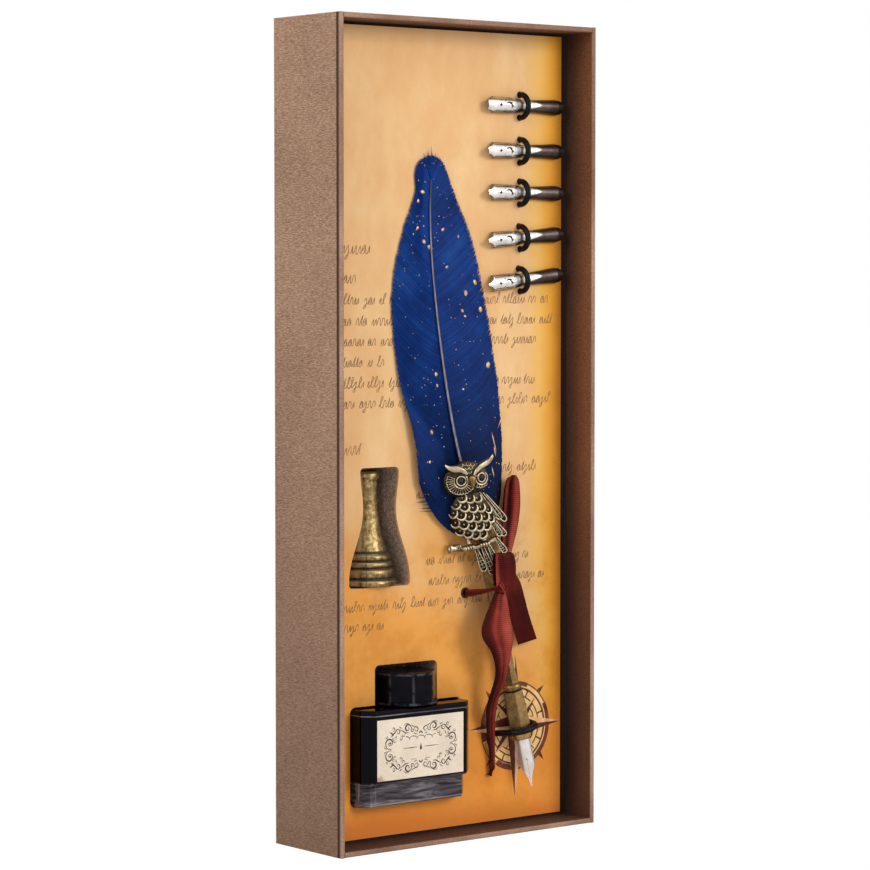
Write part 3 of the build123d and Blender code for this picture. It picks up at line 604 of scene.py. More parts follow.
def parchment():
    """Printed parchment: cream in the middle, golden to the right and low down, browned at the ends."""
    card = Finish("printed_parchment", roughness=0.62, specular_ior_level=0.08)
    place = card.place()
    x, z = card.split(place, "XZ")
    drift = card.noise(place, 22.0, 3.0, 0.6) - 0.5
    blots = card.noise(card.stretched(place, (60, 60, 34)), 1.0, 4.0, 0.6)
    fibres = card.noise(card.stretched(place, (1500, 1500, 5200)), 1.0, 2.0, 0.5)
    clouds = card.noise(place, 44.0, 5.0, 0.68)
    colour = card.colours(
        blots,
        (0.30, shade(231, 178, 122)),
        (0.48, shade(237, 189, 133)),
        (0.70, shade(244, 204, 150)),
    )
    shifted = x + drift * 9 * mm
    lifted = z + drift * 30 * mm
    low_down = (lifted + 0.45 * x).ramp(106 * mm, 72 * mm)
    aside = x - 4 * mm
    above = z - 110 * mm
    from_pen = (aside * aside + above * above) ** 0.5
    washes = (
        # deeper towards the left edge and the top
        ((216, 160, 106), shifted.ramp(-34 * mm, -56 * mm).larger(lifted.ramp(270 * mm, 312 * mm)) * 0.2),
        # the golden band down the right side
        ((242, 188, 100), shifted.ramp(36 * mm, 46 * mm)),
        ((232, 160, 52), shifted.ramp(44 * mm, 52 * mm)),
        ((186, 118, 34), shifted.ramp(50 * mm, 57.5 * mm)),
        # golden orange low down, further up on the left
        ((240, 166, 80), low_down * shifted.ramp(50 * mm, 42 * mm)),
        ((232, 140, 50), lifted.ramp(62 * mm, 30 * mm) * 0.8),
        ((250, 160, 68), lifted.ramp(28 * mm, 14 * mm) * 0.75),
        ((234, 134, 54), lifted.ramp(13 * mm, 4 * mm)),
        # golden orange patches: round the pen below the owl, and cloudy ones low down
        ((228, 154, 54), from_pen.ramp(36 * mm, 6 * mm) * 0.6),
        ((210, 130, 36), clouds.ramp(0.46, 0.66) * z.ramp(150 * mm, 95 * mm) * 0.42),
        # darker fibres
        ((228, 170, 112), (fibres - 0.5).ramp(0.02, 0.2) * 0.3),
    )
    for levels, share in washes:
        colour = card.mix(colour, shade(*levels), share)
    card.set("Base Color", colour)
    card.relief(fibres, 0.03 * mm, 0.35)
    return card.material


def dyed_barbs():
    """Royal blue barbs, each a little lighter or darker, with a soft sheen."""
    sheen = {"sheen_weight": 0.02, "sheen_roughness": 0.4}
    barbs = Finish("dyed_blue_barbs", roughness=0.7, specular_ior_level=0.08, **sheen)
    tint = barbs.node("ShaderNodeAttribute", {"attribute_name": "tint"}, {}, "Fac")
    place = barbs.place()
    z = barbs.split(place, "Z")[0]
    streaks = barbs.noise(place, 55.0, 3.0, 0.6)
    blue = barbs.colours(
        0.16 * tint + 0.84 * streaks,
        (0.22, shade(8, 30, 84)),
        (0.50, shade(18, 58, 134)),
        (0.75, shade(34, 82, 166)),
    )
    barbs.set("Base Color", barbs.mix(blue, shade(8, 26, 66), z.ramp(190 * mm, 140 * mm) * 0.8))
    return barbs.material


def gilt_specks():
    """Dull gilt in small splashes."""
    specks = Finish("gilt_specks", roughness=0.45)
    mottle = specks.noise(specks.place(), 900.0, 2.0)
    specks.set("Base Color", specks.colours(mottle, (0.35, shade(176, 132, 82)), (0.6, shade(238, 202, 146))))
    specks.set("Metallic", mottle.ramp(0.3, 0.7, 0.2, 0.6))
    return specks.material


def quill_horn():
    """Pale horn with fine lines along it, blue black at its tip, with painted shade down its far side."""
    horn = Finish("quill_horn", roughness=0.4, coat_weight=0.2)
    place = horn.place()
    z = horn.split(place, "Z")[0]
    lines = horn.noise(horn.stretched(place, (1800, 1800, 90)), 1.0, 2.0)
    pale = horn.colours(lines, (0.35, shade(110, 102, 128)), (0.65, shade(160, 152, 170)))
    # painted shade: the sides that turn away from the front are darkened
    shaded_far_side = horn.facing((-0.58, -0.81, 0.0)).ramp(0.93, 0.80)
    horn.set("Base Color", horn.mix(pale, shade(24, 26, 58), z.ramp(226 * mm, 250 * mm).larger(shaded_far_side)))
    horn.relief(lines, 0.04 * mm, 0.4)
    return horn.material


def worn_metal(name, deep, body, bright, roughness, reach, mottle_scale, grime):
    """Cast or turned metal: dark in hollows of this reach, and mottled on its faces."""
    deep, body, bright = shade(*deep), shade(*body), shade(*bright)
    metal = Finish(name, metallic=1.0)
    place = metal.place()
    clouds = metal.noise(place, mottle_scale, 4.0, 0.62)
    grain = metal.noise(place, mottle_scale * 7, 2.0, 0.5)
    open_share = metal.hollow(reach)
    colour = metal.colours(0.6 * clouds + 0.4 * grain, (0.34, body), (0.66, bright))
    dirt = open_share.ramp(0.85, 0.35) * grime
    metal.set("Base Color", metal.mix(colour, deep, dirt))
    metal.set("Roughness", clouds * 0.3 + (roughness - 0.15) + 0.35 * dirt)
    metal.set("Metallic", dirt.ramp(0.2, 1.0, 1.0, 0.25))
    metal.relief(0.6 * clouds + 0.4 * grain, 0.05 * mm, 0.4)
    return metal.material


def antique_brass():
    """The brass of the pen's barrel and grip, and of the owl's beak."""
    return worn_metal("antique_brass", (34, 26, 16), (104, 79, 46), (168, 137, 90),
                      roughness=0.4, reach=2 * mm, mottle_scale=260.0, grime=0.9)


def stand_brass():
    """The stand's brass: mottled, black in its grooves, with a painted highlight line and a thin seam down
    its front, painted highlights along its rings and painted shade on its sides.
    """
    metal = Finish("stand_brass", metallic=1.0)
    low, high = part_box("pen_stand")
    place = metal.place()
    x, y, z = metal.split(place)
    from_axis_x = x - 0.5 * (low.x + high.x)
    from_axis_y = y - 0.5 * (low.y + high.y)
    radius = (from_axis_x * from_axis_x + from_axis_y * from_axis_y) ** 0.5
    # -1 on its left, where it meets the recess, to 1 on its right
    side = (0.782 * from_axis_x - 0.623 * from_axis_y) / radius.larger(0.1 * mm)
    clouds = metal.noise(place, 620.0, 4.0, 0.65)
    scratches = metal.noise(metal.stretched(place, (1500, 1500, 380)), 1.0, 3.0, 0.6)
    colour = metal.colours(
        0.72 * clouds + 0.28 * scratches,
        (0.36, shade(96, 76, 44)), (0.50, shade(154, 128, 84)), (0.64, shade(204, 178, 128)),
    )
    # painted shade and painted dark reflection: the sides turned away from the front are darkened, the left
    # one most
    away = side.ramp(-0.66, -0.94).larger(side.ramp(0.2, 0.85) * 0.5)
    colour = metal.mix(colour, shade(42, 33, 20), away)
    cone = z.ramp(low.z + 12.6 * mm, low.z + 14.0 * mm)
    # painted highlight: a bright line down its left front, broken up by the mottling
    rubbed_and_highlit = side.band(-0.42, 0.26) * clouds.ramp(0.30, 0.44) * (0.6 + 0.4 * cone)
    colour = metal.mix(colour, shade(244, 222, 178), rubbed_and_highlit)
    lit_ring_tops = metal.rings(z - low.z, 0.5 * mm, (2.1, 6.1, 8.9, 11.8, 42.9))
    grooves = metal.rings(z - low.z, 0.75 * mm, (2.95, 6.9, 9.55, 12.7))
    # painted highlights on its rings' upper edges, where they face the front
    colour = metal.mix(colour, shade(222, 198, 152), lit_ring_tops * (1 - away) * 0.5)
    seam = side.band(0.02, 0.04) * (0.55 - 0.35 * cone)
    dirt = grooves.larger(seam).larger(metal.hollow(2 * mm).ramp(0.7, 0.3))
    metal.set("Base Color", metal.mix(colour, shade(22, 17, 11), dirt * 0.92))
    metal.set("Roughness", 0.24 + 0.3 * clouds + 0.2 * dirt)
    metal.set("Metallic", dirt.ramp(0.2, 1.0, 1.0, 0.3))
    metal.relief(0.6 * clouds + 0.4 * scratches, 0.06 * mm, 0.45)
    return metal.material


def golden_bronze():
    """The brighter metal of the nib's collar."""
    return worn_metal("golden_bronze", (44, 31, 16), (146, 112, 62), (212, 178, 116),
                      roughness=0.3, reach=1.5 * mm, mottle_scale=300.0, grime=0.85)


def bright_steel():
    """Pressed nib steel: bright on the writing nib and on the spare nibs' crowns."""
    steel = Finish("bright_nib_steel", metallic=1.0)
    place = steel.place()
    clouds = steel.noise(place, 120.0, 3.0, 0.6)
    brushed = steel.noise(steel.stretched(place, (900, 900, 90), (0, 0.236, 0)), 1.0, 2.0)
    x, z = steel.split(place, "XZ")
    bright = steel.colours(clouds, (0.35, shade(224, 216, 210)), (0.65, shade(252, 247, 242)))
    gunmetal_and_reflection = steel.colours(clouds, (0.35, shade(60, 50, 48)), (0.65, shade(100, 86, 82)))
    spare = z.ramp(150 * mm, 160 * mm)
    # behind their crown the spare nibs are grey brown, partly their gunmetal tint and partly a painted dark
    # reflection, with a painted highlight that tapers off
    taper = x.ramp(33.5 * mm, 46.5 * mm, 0.60, 1.02)
    light = (steel.facing((-0.30, -0.92, 0.26)) - taper).ramp(-0.02, 0.10)
    behind_crown = x.ramp(30.8 * mm, 32.2 * mm) * spare
    # painted reflection: the crown's flanks are darkened as they mirror the dark card edge; painted shade:
    # the writing nib's left flank is darkened
    flanks = steel.facing((-0.12, -0.99, 0.05)).ramp(0.72, 0.42) * spare
    left_flank = steel.facing((-0.96, -0.20, 0.20)).ramp(0.80, 0.95) * (1 - spare)
    dark = (behind_crown * (1 - 0.9 * light)).larger(flanks * 0.85).larger(left_flank * 0.6)
    steel.set("Base Color", steel.mix(bright, gunmetal_and_reflection, dark))
    steel.set("Metallic", spare.ramp(0.0, 1.0, 0.55, 1.0))
    steel.set("Roughness", 0.16 + 0.16 * brushed + 0.14 * behind_crown)
    steel.relief(brushed, 0.02 * mm, 0.2)
    return steel.material


def ink_glass():
    """Thick glass with black ink behind it: near black, with painted highlights along its edges."""
    glass = Finish("ink_bottle_glass", roughness=0.06, specular_ior_level=0.09)
    low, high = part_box("bottle_glass")
    foot_top, shoulder = 25.2 * mm, 49.4 * mm
    place = glass.place()
    x, y, z = glass.split(place)
    waves = glass.noise(place, 70.0, 2.0)
    streaks = glass.noise(glass.stretched(place, (42, 120, 330)), 1.0, 3.0, 0.55, 1.6)
    glints = glass.noise(glass.stretched(place, (420, 300, 110)), 1.0, 2.0, 0.5, 0.6)
    front = y.ramp(low.y + 2.2 * mm, low.y + 1.0 * mm)
    # the solid glass of the foot passes light, so it looks paler than the ink above it
    foot = z.ramp(foot_top + 0.3 * mm, foot_top - 0.5 * mm)
    pale = glass.colours(
        streaks, (0.38, shade(48, 43, 47)), (0.52, shade(86, 79, 84)), (0.68, shade(134, 127, 132))
    )
    near_left = x.ramp(low.x + 9 * mm, low.x + 3 * mm)
    pale = glass.mix(pale, shade(150, 144, 150), glints.ramp(0.54, 0.62) * near_left * 0.8)
    colour = glass.mix(shade(7, 6, 11), pale, foot)
    # painted reflection: the left side face takes a brown tint towards the back, above the foot
    brown_side_reflection = x.ramp(low.x + 0.6 * mm, low.x + 0.2 * mm) * y.ramp(low.y + 5 * mm, high.y) * (1 - foot)
    colour = glass.mix(colour, shade(74, 44, 26), brown_side_reflection)
    # painted highlights along the shoulder, the front corners, the foot's step and the base
    edges = z.band(shoulder + 0.9 * mm, 0.32 * mm) * 0.5
    for edge in (
        x.band(low.x + 0.9 * mm, 0.45 * mm) * front * (1 - foot) * 0.45,
        x.band(high.x - 0.8 * mm, 0.6 * mm) * front * 0.7,
        z.band(foot_top - 0.9 * mm, 0.4 * mm) * 0.5,
        z.band(low.z + 0.8 * mm, 0.5 * mm) * 0.45,
    ):
        edges = edges.larger(edge)
    uneven = streaks.ramp(0.36, 0.56, 0.35, 1.0)
    glass.set("Base Color", glass.mix(colour, shade(168, 162, 170), edges * uneven))
    glass.relief(waves, 0.25 * mm, 0.25)
    return glass.material


def moulded_black():
    """The cap's black plastic, with painted grey highlights along its facets' edges and rims, and its right
    facets painted lighter.
    """
    plastic = Finish("moulded_black_plastic", roughness=0.22, specular_ior_level=0.07)
    low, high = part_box("bottle_cap")
    place = plastic.place()
    x, y, z = plastic.split(place)
    waves = plastic.noise(place, 240.0, 3.0)
    around = plastic.node("ShaderNodeMath", {"operation": "ARCTAN2"}, {
        0: y - 0.5 * (low.y + high.y), 1: x - 0.5 * (low.x + high.x),
    })
    # painted highlights: thin grey lines along the facets' edges and round the top and bottom rims
    facet_edges = (4.0 * around).sine().absolute().ramp(0.975, 0.998) * 0.22
    rims = z.band(high.z - 0.7 * mm, 0.6 * mm).larger(z.band(low.z + 0.5 * mm, 0.6 * mm)) * 0.3
    tone = plastic.colours(waves, (0.35, shade(6, 5, 9)), (0.65, shade(15, 13, 20)))
    # painted light: the facets on the right are a little lighter
    right_facets = x.ramp(-16.5 * mm, -14.5 * mm)
    tone = plastic.mix(tone, shade(24, 22, 32), right_facets * 0.6)
    rubbed_and_highlit = facet_edges.larger(rims) * waves.ramp(0.4, 0.55)
    plastic.set("Base Color", plastic.mix(tone, shade(120, 116, 124), rubbed_and_highlit))
    plastic.set("Roughness", 0.14 + 0.2 * waves)
    plastic.relief(waves, 0.04 * mm, 0.3)
    return plastic.material


def ink_black():
    """Ink with a still, shiny surface."""
    ink = Finish("black_ink", roughness=0.04, specular_ior_level=0.1)
    waves = ink.noise(ink.place(), 40.0, 2.0)
    ink.set("Base Color", ink.colours(waves, (0.3, shade(5, 5, 9)), (0.7, shade(12, 11, 20))))
    return ink.material


def label_paper():
    """Cream paper with a brown stain in its lower left corner."""
    paper = Finish("label_paper", roughness=0.68, specular_ior_level=0.3)
    stain_centre = (-40.5 * mm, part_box("bottle_label")[0].y, 26.2 * mm)
    place = paper.place()
    fibres = paper.noise(place, 1400.0, 3.0)
    clouds = paper.noise(place, 90.0, 3.0)
    colour = paper.colours(
        0.4 * fibres + 0.6 * clouds, (0.35, shade(224, 207, 186)), (0.6, shade(242, 227, 206))
    )
    from_stain = paper.stretched(place, (1, 1, 1.6), centre=stain_centre)
    away = paper.node("ShaderNodeVectorMath", {"operation": "LENGTH"}, {0: from_stain}, "Value")
    stain = away.ramp(6 * mm, 1 * mm) * clouds.ramp(0.40, 0.54) * 0.8
    paper.set("Base Color", paper.mix(colour, shade(170, 120, 66), stain))
    paper.relief(fibres, 0.02 * mm, 0.3)
    return paper.material


def elastic_cord():
    """Round elastic cord with a braided cover."""
    cord = Finish("black_elastic_cord", roughness=0.36, specular_ior_level=0.16)
    place = cord.place()
    x, z = cord.split(place, "XZ")
    braids_a_metre = 5200.0
    braid = ((x + z) * braids_a_metre).sine() * ((x - z) * braids_a_metre).sine()
    cord.set("Base Color", cord.colours(braid * 0.5 + 0.5, (0.1, shade(3, 2, 4)), (0.9, shade(15, 12, 15))))
    cord.set("Roughness", braid.ramp(-1.0, 1.0, 0.5, 0.28))
    cord.relief(braid, 0.08 * mm, 0.6)
    return cord.material


def liner():
    """The cap's pale foam liner."""
    foam = Finish("cap_liner_foam", roughness=0.85)
    pores = foam.cells(foam.place(), 2600.0)
    foam.set("Base Color", foam.colours(pores, (0.1, shade(196, 192, 184)), (0.6, shade(232, 228, 220))))
    foam.relief(pores, 0.08 * mm, 0.5)
    return foam.material


def antique_silver():
    """Cast silver left dark with patina."""
    return worn_metal("antique_silver", (9, 7, 6), (32, 26, 20), (84, 73, 56),
                      roughness=0.5, reach=1.2 * mm, mottle_scale=420.0, grime=1.0)


def rubbed_silver():
    """The same casting where it has been rubbed bright."""
    return worn_metal("rubbed_silver", (34, 27, 20), (138, 121, 94), (226, 210, 180),
                      roughness=0.36, reach=0.6 * mm, mottle_scale=500.0, grime=0.9)


def pupil_black():
    """The deepest hollows of the casting, left black."""
    black = Finish("pupil_black", roughness=0.3)
    mottle = black.noise(black.place(), 900.0, 2.0)
    black.set("Base Color", black.colours(mottle, (0.4, shade(8, 7, 7)), (0.66, shade(36, 33, 28))))
    return black.material
# ------------------------------------------------------------------ feather
# Places on the feather are (across, up) in millimetres. Its vane lies this far behind the front rim.
vane_depth = 13.42
rachis = (
    (13.2, 114.5), (9.6, 130.0), (4.7, 143.7), (2.0, 150.7), (-0.1, 163.4), (-2.5, 174.1), (-4.9, 188.0),
    (-6.9, 200.8), (-8.2, 215.7), (-9.3, 224.2), (-9.9, 232.7), (-9.6, 243.4), (-9.3, 254.0),
)
left_edge = (
    (-16.2, 136.0), (-18.6, 153.0), (-22.2, 166.0), (-25.2, 177.5), (-27.8, 200.0), (-27.0, 215.0),
    (-22.6, 231.0), (-18.6, 240.6), (-16.6, 246.4), (-16.9, 252.2), (-15.5, 256.6), (-12.4, 258.6),
    (-9.6, 259.6),
)
right_edge = (
    (25.0, 131.0), (25.4, 148.0), (24.4, 163.0), (22.6, 178.0), (17.6, 203.0), (11.2, 227.0),
    (3.2, 243.5), (0.8, 248.8), (-1.3, 253.2), (-3.4, 257.0), (-6.0, 258.8), (-9.0, 259.6),
)
barbs_a_side = 330
frayed_barbs = 22
loose_barbs = 7
barb_half_width = 0.44
barb_facing = (0, -1, 0.2)
line_places = 2400
# the right side lies flat above this height, where the spare nibs pass over it
flat_above, flat_within = 186.0, 14.0
# side, place along the shaft, how many barbs it moves and how wide it opens at the edge
feather_splits = (
    (-1, 0.80, 0.012, 0.003), (-1, 0.30, 0.012, 0.002), (-1, 0.10, 0.02, 0.005), (1, 0.08, 0.02, 0.006),
    (1, 0.20, 0.012, 0.005), (1, 0.58, 0.008, 0.002), (1, 0.72, 0.006, 0.002),
)
# large gilt specks on the vane, (across, up, size)
gilt_places = (
    (-9.7, 224.8, 2.6), (-12.8, 227.0, 1.9), (12.3, 211.6, 2.2), (7.7, 207.5, 2.2), (6.1, 200.8, 1.6),
    (15.0, 201.2, 2.3), (18.6, 179.8, 2.7), (-7.5, 176.8, 2.6), (-6.6, 172.5, 1.6), (-0.9, 166.5, 1.8),
    (-9.6, 155.0, 1.8), (-11.0, 143.7, 1.4), (6.1, 170.9, 1.1), (-1.5, 217.4, 1.5), (7.4, 198.7, 1.2),
    (-13.4, 245.6, 2.0), (-15.5, 242.2, 1.5), (-15.9, 232.1, 1.5), (-3.5, 231.6, 1.6), (4.1, 229.0, 1.2),
)
pin_specks = 170
# narrow slits at the right edge, where the pale card shows through: across, up, turn and half length
edge_slits = ((21.2, 150.2, -0.30, 4.6), (21.6, 146.6, -0.22, 2.2), (20.6, 138.6, -0.28, 2.4))


def places_along(points):
    return evenly(smooth_line([Vector((x, 0, z)) for x, z in points], 8), line_places)


def vane_lift(side, root_share, out):
    """How far the vane stands off its base depth: a soft arch, and a raised edge low on the left."""
    fullness = 0.4 + 0.6 * math.sin(math.pi * min(1.0, root_share + 0.15))
    arch = 0.75 * math.sin(math.pi * min(out, 1.0)) * fullness
    low = math.exp(-((root_share - 0.08) / 0.2) ** 2)
    return arch + (2.1 if side < 0 else 0.5) * low * out ** 1.5


def barb(side, root_share, roots, ends, random_source):
    """A barb from its share along the shaft to the vane's edge, a little out of line as real ones are."""
    root = roots[int(root_share * (len(roots) - 1))]
    wander = 0.0012 * random_source.uniform(-1, 1)
    for split_side, split, width, gap in feather_splits:
        if split_side == side:
            away = root_share - split
            wander += math.copysign(gap * math.exp(-abs(away) / width), away)
    end_share = min(max(root_share + wander, 0.0), 1.0)
    end = ends[int(end_share * (len(ends) - 1))]
    reach = end - root
    bend_across, bend_up = 0.64 - 0.16 * root_share, -0.08 + 0.62 * root_share ** 0.8
    control = root + Vector((reach.x * bend_across, 0, reach.z * bend_up))
    length = 1.0 + 0.012 * random_source.uniform(-1, 1)
    if random_source.random() < 0.05:
        length += random_source.uniform(-0.05, 0.02)
    tint = random_source.random()
    line = []
    steps = 14
    for step in range(steps + 1):
        t = length * step / steps
        point = (1 - t) ** 2 * root + 2 * t * (1 - t) * control + t ** 2 * end
        lift = vane_lift(side, root_share, t)
        if side > 0:
            lift *= max(0.0, min(1.0, (flat_above - point.z) / flat_within))
        width = barb_half_width * (1.0 - 0.72 * (step / steps) ** 7) * mm
        line.append((at(point.x, vane_depth - lift, point.z), width, barb_facing, tint))
    return line


def stray_barb(place, steps, width, taper, tint, random_source):
    """A fine loose barb through the places that a function gives from 0 to 1 along it."""
    line = []
    for step in range(steps + 1):
        t = step / steps
        line.append((at(*place(t)), width * (1 - taper * t) * mm, barb_facing, tint * random_source.random()))
    return line


def feather_vane():
    """The vane's barbs, and the specks that lie on them."""
    random_source = random.Random(11)
    roots = places_along(rachis)
    lines = []
    for side, edge in ((-1, left_edge), (1, right_edge)):
        ends = places_along(edge)
        for number in range(barbs_a_side):
            lines.append(barb(side, (number + 0.5) / barbs_a_side, roots, ends, random_source))
    # frayed barbs at the tip
    for number in range(frayed_barbs):
        start = roots[-1 - 12 * (number % 5)]
        spread = (number - 0.5 * (frayed_barbs - 1)) * 0.42
        reach = random_source.uniform(6.2, 9.0) - 0.35 * abs(spread)
        lines.append(stray_barb(
            lambda t: (start.x + spread * t, vane_depth - 0.5 - 0.2 * t, start.z + reach * t),
            steps=7, width=0.3, taper=0.8, tint=0.3, random_source=random_source,
        ))
    # loose barbs low on the left
    for number in range(loose_barbs):
        across, up = -11.6 + 0.5 * number, 130.4 - 0.9 * number
        reach = random_source.uniform(4.5, 8.5)
        droop = random_source.uniform(-0.7, 0.5)
        lines.append(stray_barb(
            lambda t: (across - reach * t, vane_depth - 1.6 - 0.5 * t, up + droop * t * (2 - t)),
            steps=8, width=0.2, taper=0.85, tint=0.2, random_source=random_source,
        ))
    vane = swept("feather_barbs", lines, dyed_barbs(), sides=4, flatness=0.11)
    return vane, vane_specks(lines)


def vane_specks(lines):
    """Splashes and tiny drops of gilt on the barbs, and pale slits at the right edge."""
    random_source = random.Random(5)
    surface = [entry[0] for line in lines for entry in line[2:-2]]

    def on_vane(x, z, proud):
        wanted = at(x, vane_depth, z)
        nearest = min(surface, key=lambda point: (point.x - wanted.x) ** 2 + (point.z - wanted.z) ** 2)
        wanted.y = nearest.y - proud * mm
        return wanted

    places = []
    for x, z, size in gilt_places:
        half = 0.5 * size * mm
        turn = (0, random_source.uniform(0, 3.1), 0)
        places.append((on_vane(x, z, 0.07), turn, (0.85 * half, 0.08 * mm, 1.15 * half)))
    for number in range(pin_specks):
        point = random_source.choice(surface).copy()
        point.y -= 0.07 * mm
        half = random_source.uniform(0.1, 0.26) * mm
        turn = (0, random_source.uniform(0, 3.1), 0)
        places.append((point, turn, (half, 0.07 * mm, 1.2 * half)))
    for x, z, turn, half in edge_slits:
        places.append((on_vane(x, z, 0.1), (0, turn, 0), (0.3 * mm, 0.1 * mm, half * mm)))
    blob = bmesh.new()
    bmesh.ops.create_icosphere(blob, subdivisions=1, radius=1.0)
    return copies("feather_specks", made_of("speck", blob), places, gilt_specks())


# ------------------------------------------------------------------ owl
# Places on the owl are (across, up) from the pen's ring in its own frame; the third number is
# how far it stands out from the pen's axis.
pen_axes = Matrix((pen_across, pen_up, pen_front)).transposed()
owl_body_outline = (
    (-3.6, 81.4), (-7.0, 80.6), (-9.6, 78.4), (-11.4, 75.2), (-12.0, 71.9), (-11.7, 68.5), (-10.1, 65.7),
    (-7.7, 63.5), (-4.2, 61.9), (-1.3, 61.8), (1.8, 64.2), (4.2, 68.4), (4.3, 72.6), (3.1, 76.6),
    (1.2, 79.6),
)
owl_head_outline = (
    (-12.2, 86.1), (-11.8, 82.8), (-9.7, 80.4), (-6.4, 79.9), (-3.5, 81.3), (-1.2, 80.9), (0.8, 79.9),
    (3.2, 81.1), (4.9, 84.0), (5.2, 87.2), (3.4, 90.0), (0.8, 91.8), (-2.2, 92.8), (-5.4, 92.3),
    (-8.9, 90.8), (-11.4, 88.8),
)
left_brow = (
    (-10.4, 93.5), (-8.6, 92.6), (-6.4, 92.2), (-4.4, 91.2), (-2.8, 89.4), (-2.0, 87.2), (-3.4, 88.4),
    (-5.2, 89.3), (-7.8, 89.9), (-9.6, 91.2), (-10.5, 92.5),
)
right_brow = (
    (8.6, 93.0), (7.4, 91.9), (5.2, 91.4), (2.6, 90.6), (0.4, 89.0), (-0.9, 86.7), (0.9, 87.9),
    (3.0, 88.8), (5.6, 89.4), (7.7, 90.5), (8.8, 91.9),
)
beak_outline = ((-2.7, 86.6), (-1.2, 87.4), (0.3, 86.4), (-0.1, 84.9), (-1.5, 82.6), (-2.6, 84.6))
scale_places = (
    (-6.4, 78.9), (-3.6, 78.2), (-0.9, 77.8), (-9.0, 76.8), (-6.1, 75.5), (-3.2, 74.6), (-0.3, 74.2),
    (-10.6, 73.8), (-8.0, 72.6), (-5.2, 71.4), (-2.3, 70.7), (0.6, 70.2), (2.6, 72.4), (-10.6, 70.0),
    (-7.6, 68.9), (-4.8, 67.7), (-2.0, 67.1), (0.8, 66.6), (3.1, 68.6), (-9.4, 66.6), (-6.6, 65.2),
    (-3.9, 64.1), (-1.2, 63.6),
)


crown_feathers = (
    (-4.6, 91.9, 0.8), (-3.0, 92.3, 0.8), (-1.5, 91.8, 0.8), (-2.4, 90.7, 0.75), (-0.9, 90.4, 0.7),
    (-1.6, 88.9, 0.6), (0.0, 91.2, 0.7), (-6.2, 91.6, 0.7),
)
# wing, lower wing and tail: root, tip, half width, how far it stands out, and how far its tip falls
long_feathers = (
    ((0.4, 79.9), (4.9, 68.7), 1.05, 5.4, 0.9), ((1.7, 79.3), (7.0, 67.8), 1.0, 4.9, 1.0),
    ((2.9, 78.2), (8.9, 66.5), 1.05, 4.3, 0.9), ((2.9, 69.0), (5.9, 61.4), 1.0, 4.6, 0.4),
    ((4.6, 67.4), (7.7, 61.0), 0.95, 4.2, 0.4), ((3.9, 60.9), (6.6, 54.6), 1.0, 4.3, 0.2),
    ((-4.4, 58.2), (-2.7, 49.2), 1.15, 4.4, 0.0), ((-1.7, 58.2), (0.3, 47.2), 1.15, 4.2, 0.0),
    ((0.6, 59.2), (2.4, 51.6), 0.9, 3.9, 0.0),
)
# the branch's flared end, (radius, height), and the run of the branch, (across, up, front)
branch_flare = (
    (1.05, 5.4), (1.2, 2.6), (1.5, 1.2), (2.0, 0.2), (1.9, 0.0), (1.5, 0.15), (1.25, 1.0), (0.6, 4.8),
)
branch_hollow = ((0.0, 0.9), (1.3, 0.9), (1.3, 1.3), (0.0, 1.3))
branch_run = ((-10.6, 59.9, 4.2), (-9.2, 59.5, 4.0), (-4.8, 58.9, 3.6), (0.0, 59.4, 3.4), (4.0, 60.5, 3.1))


def dome_height(outline_middle, reach, place, edge, top):
    away = math.hypot((place[0] - outline_middle[0]) / reach[0], (place[1] - outline_middle[1]) / reach[1])
    return edge + (top - edge) * math.sqrt(max(0.0, 1 - min(away, 1.0) ** 2))


def body_front(place):
    return dome_height((-3.7, 71.6), (8.8, 10.6), place, 3.4, 7.6) - 0.06 * max(0.0, place[0]) ** 1.5


def head_front(place):
    return dome_height((-3.6, 86.2), (9.6, 7.4), place, 4.2, 7.0) - 0.22 * max(0.0, place[0] + 2)


def closed_outline(points):
    """A smooth closed line through points."""
    steps = 4
    ring = [Vector((x, y, 0)) for x, y in points]
    count = len(ring)
    line = []
    for index in range(count):
        near = (ring[index - 1], ring[index], ring[(index + 1) % count], ring[(index + 2) % count])
        line += [between(*near, step / steps) for step in range(steps)]
    return line


def cast_form(name, outline, front, back, material, rings=9, edge_drop=0.0):
    """A cast lump: an outline filled to a front that a function gives, closed by a flat back."""
    line = closed_outline(outline)
    middle = sum(line, Vector()) / len(line)
    body = bmesh.new()
    tip = body.verts.new(on_pen(middle.x, middle.y, front((middle.x, middle.y))))
    loops = []
    for ring in range(1, rings + 1):
        share = math.sin(0.5 * math.pi * ring / rings)
        loop = []
        for corner in line:
            place = middle.lerp(corner, share)
            height = front((place.x, place.y)) - edge_drop * share ** 8
            loop.append(body.verts.new(on_pen(place.x, place.y, height)))
        loops.append(loop)
    loops.append([body.verts.new(on_pen(corner.x, corner.y, back)) for corner in line])
    count = len(line)
    for index in range(count):
        beside = (index + 1) % count
        body.faces.new((tip, loops[0][index], loops[0][beside]))
        for inner, outer in zip(loops, loops[1:]):
            body.faces.new((inner[index], outer[index], outer[beside], inner[beside]))
    body.faces.new(list(reversed(loops[-1])))
    bmesh.ops.recalc_face_normals(body, faces=body.faces)
    return made_of(name, body, material)


def bar(points, width, taper=0.0):
    """A bar through (across, up, front) points, for the swept tree."""
    line = smooth_line([Vector(point) for point in points], 5)
    last = len(line) - 1
    entries = []
    for index, point in enumerate(line):
        away = abs(2 * index / last - 1)
        entries.append((on_pen(*point), width * (1 - taper * away ** 2) * mm, pen_front))
    return entries


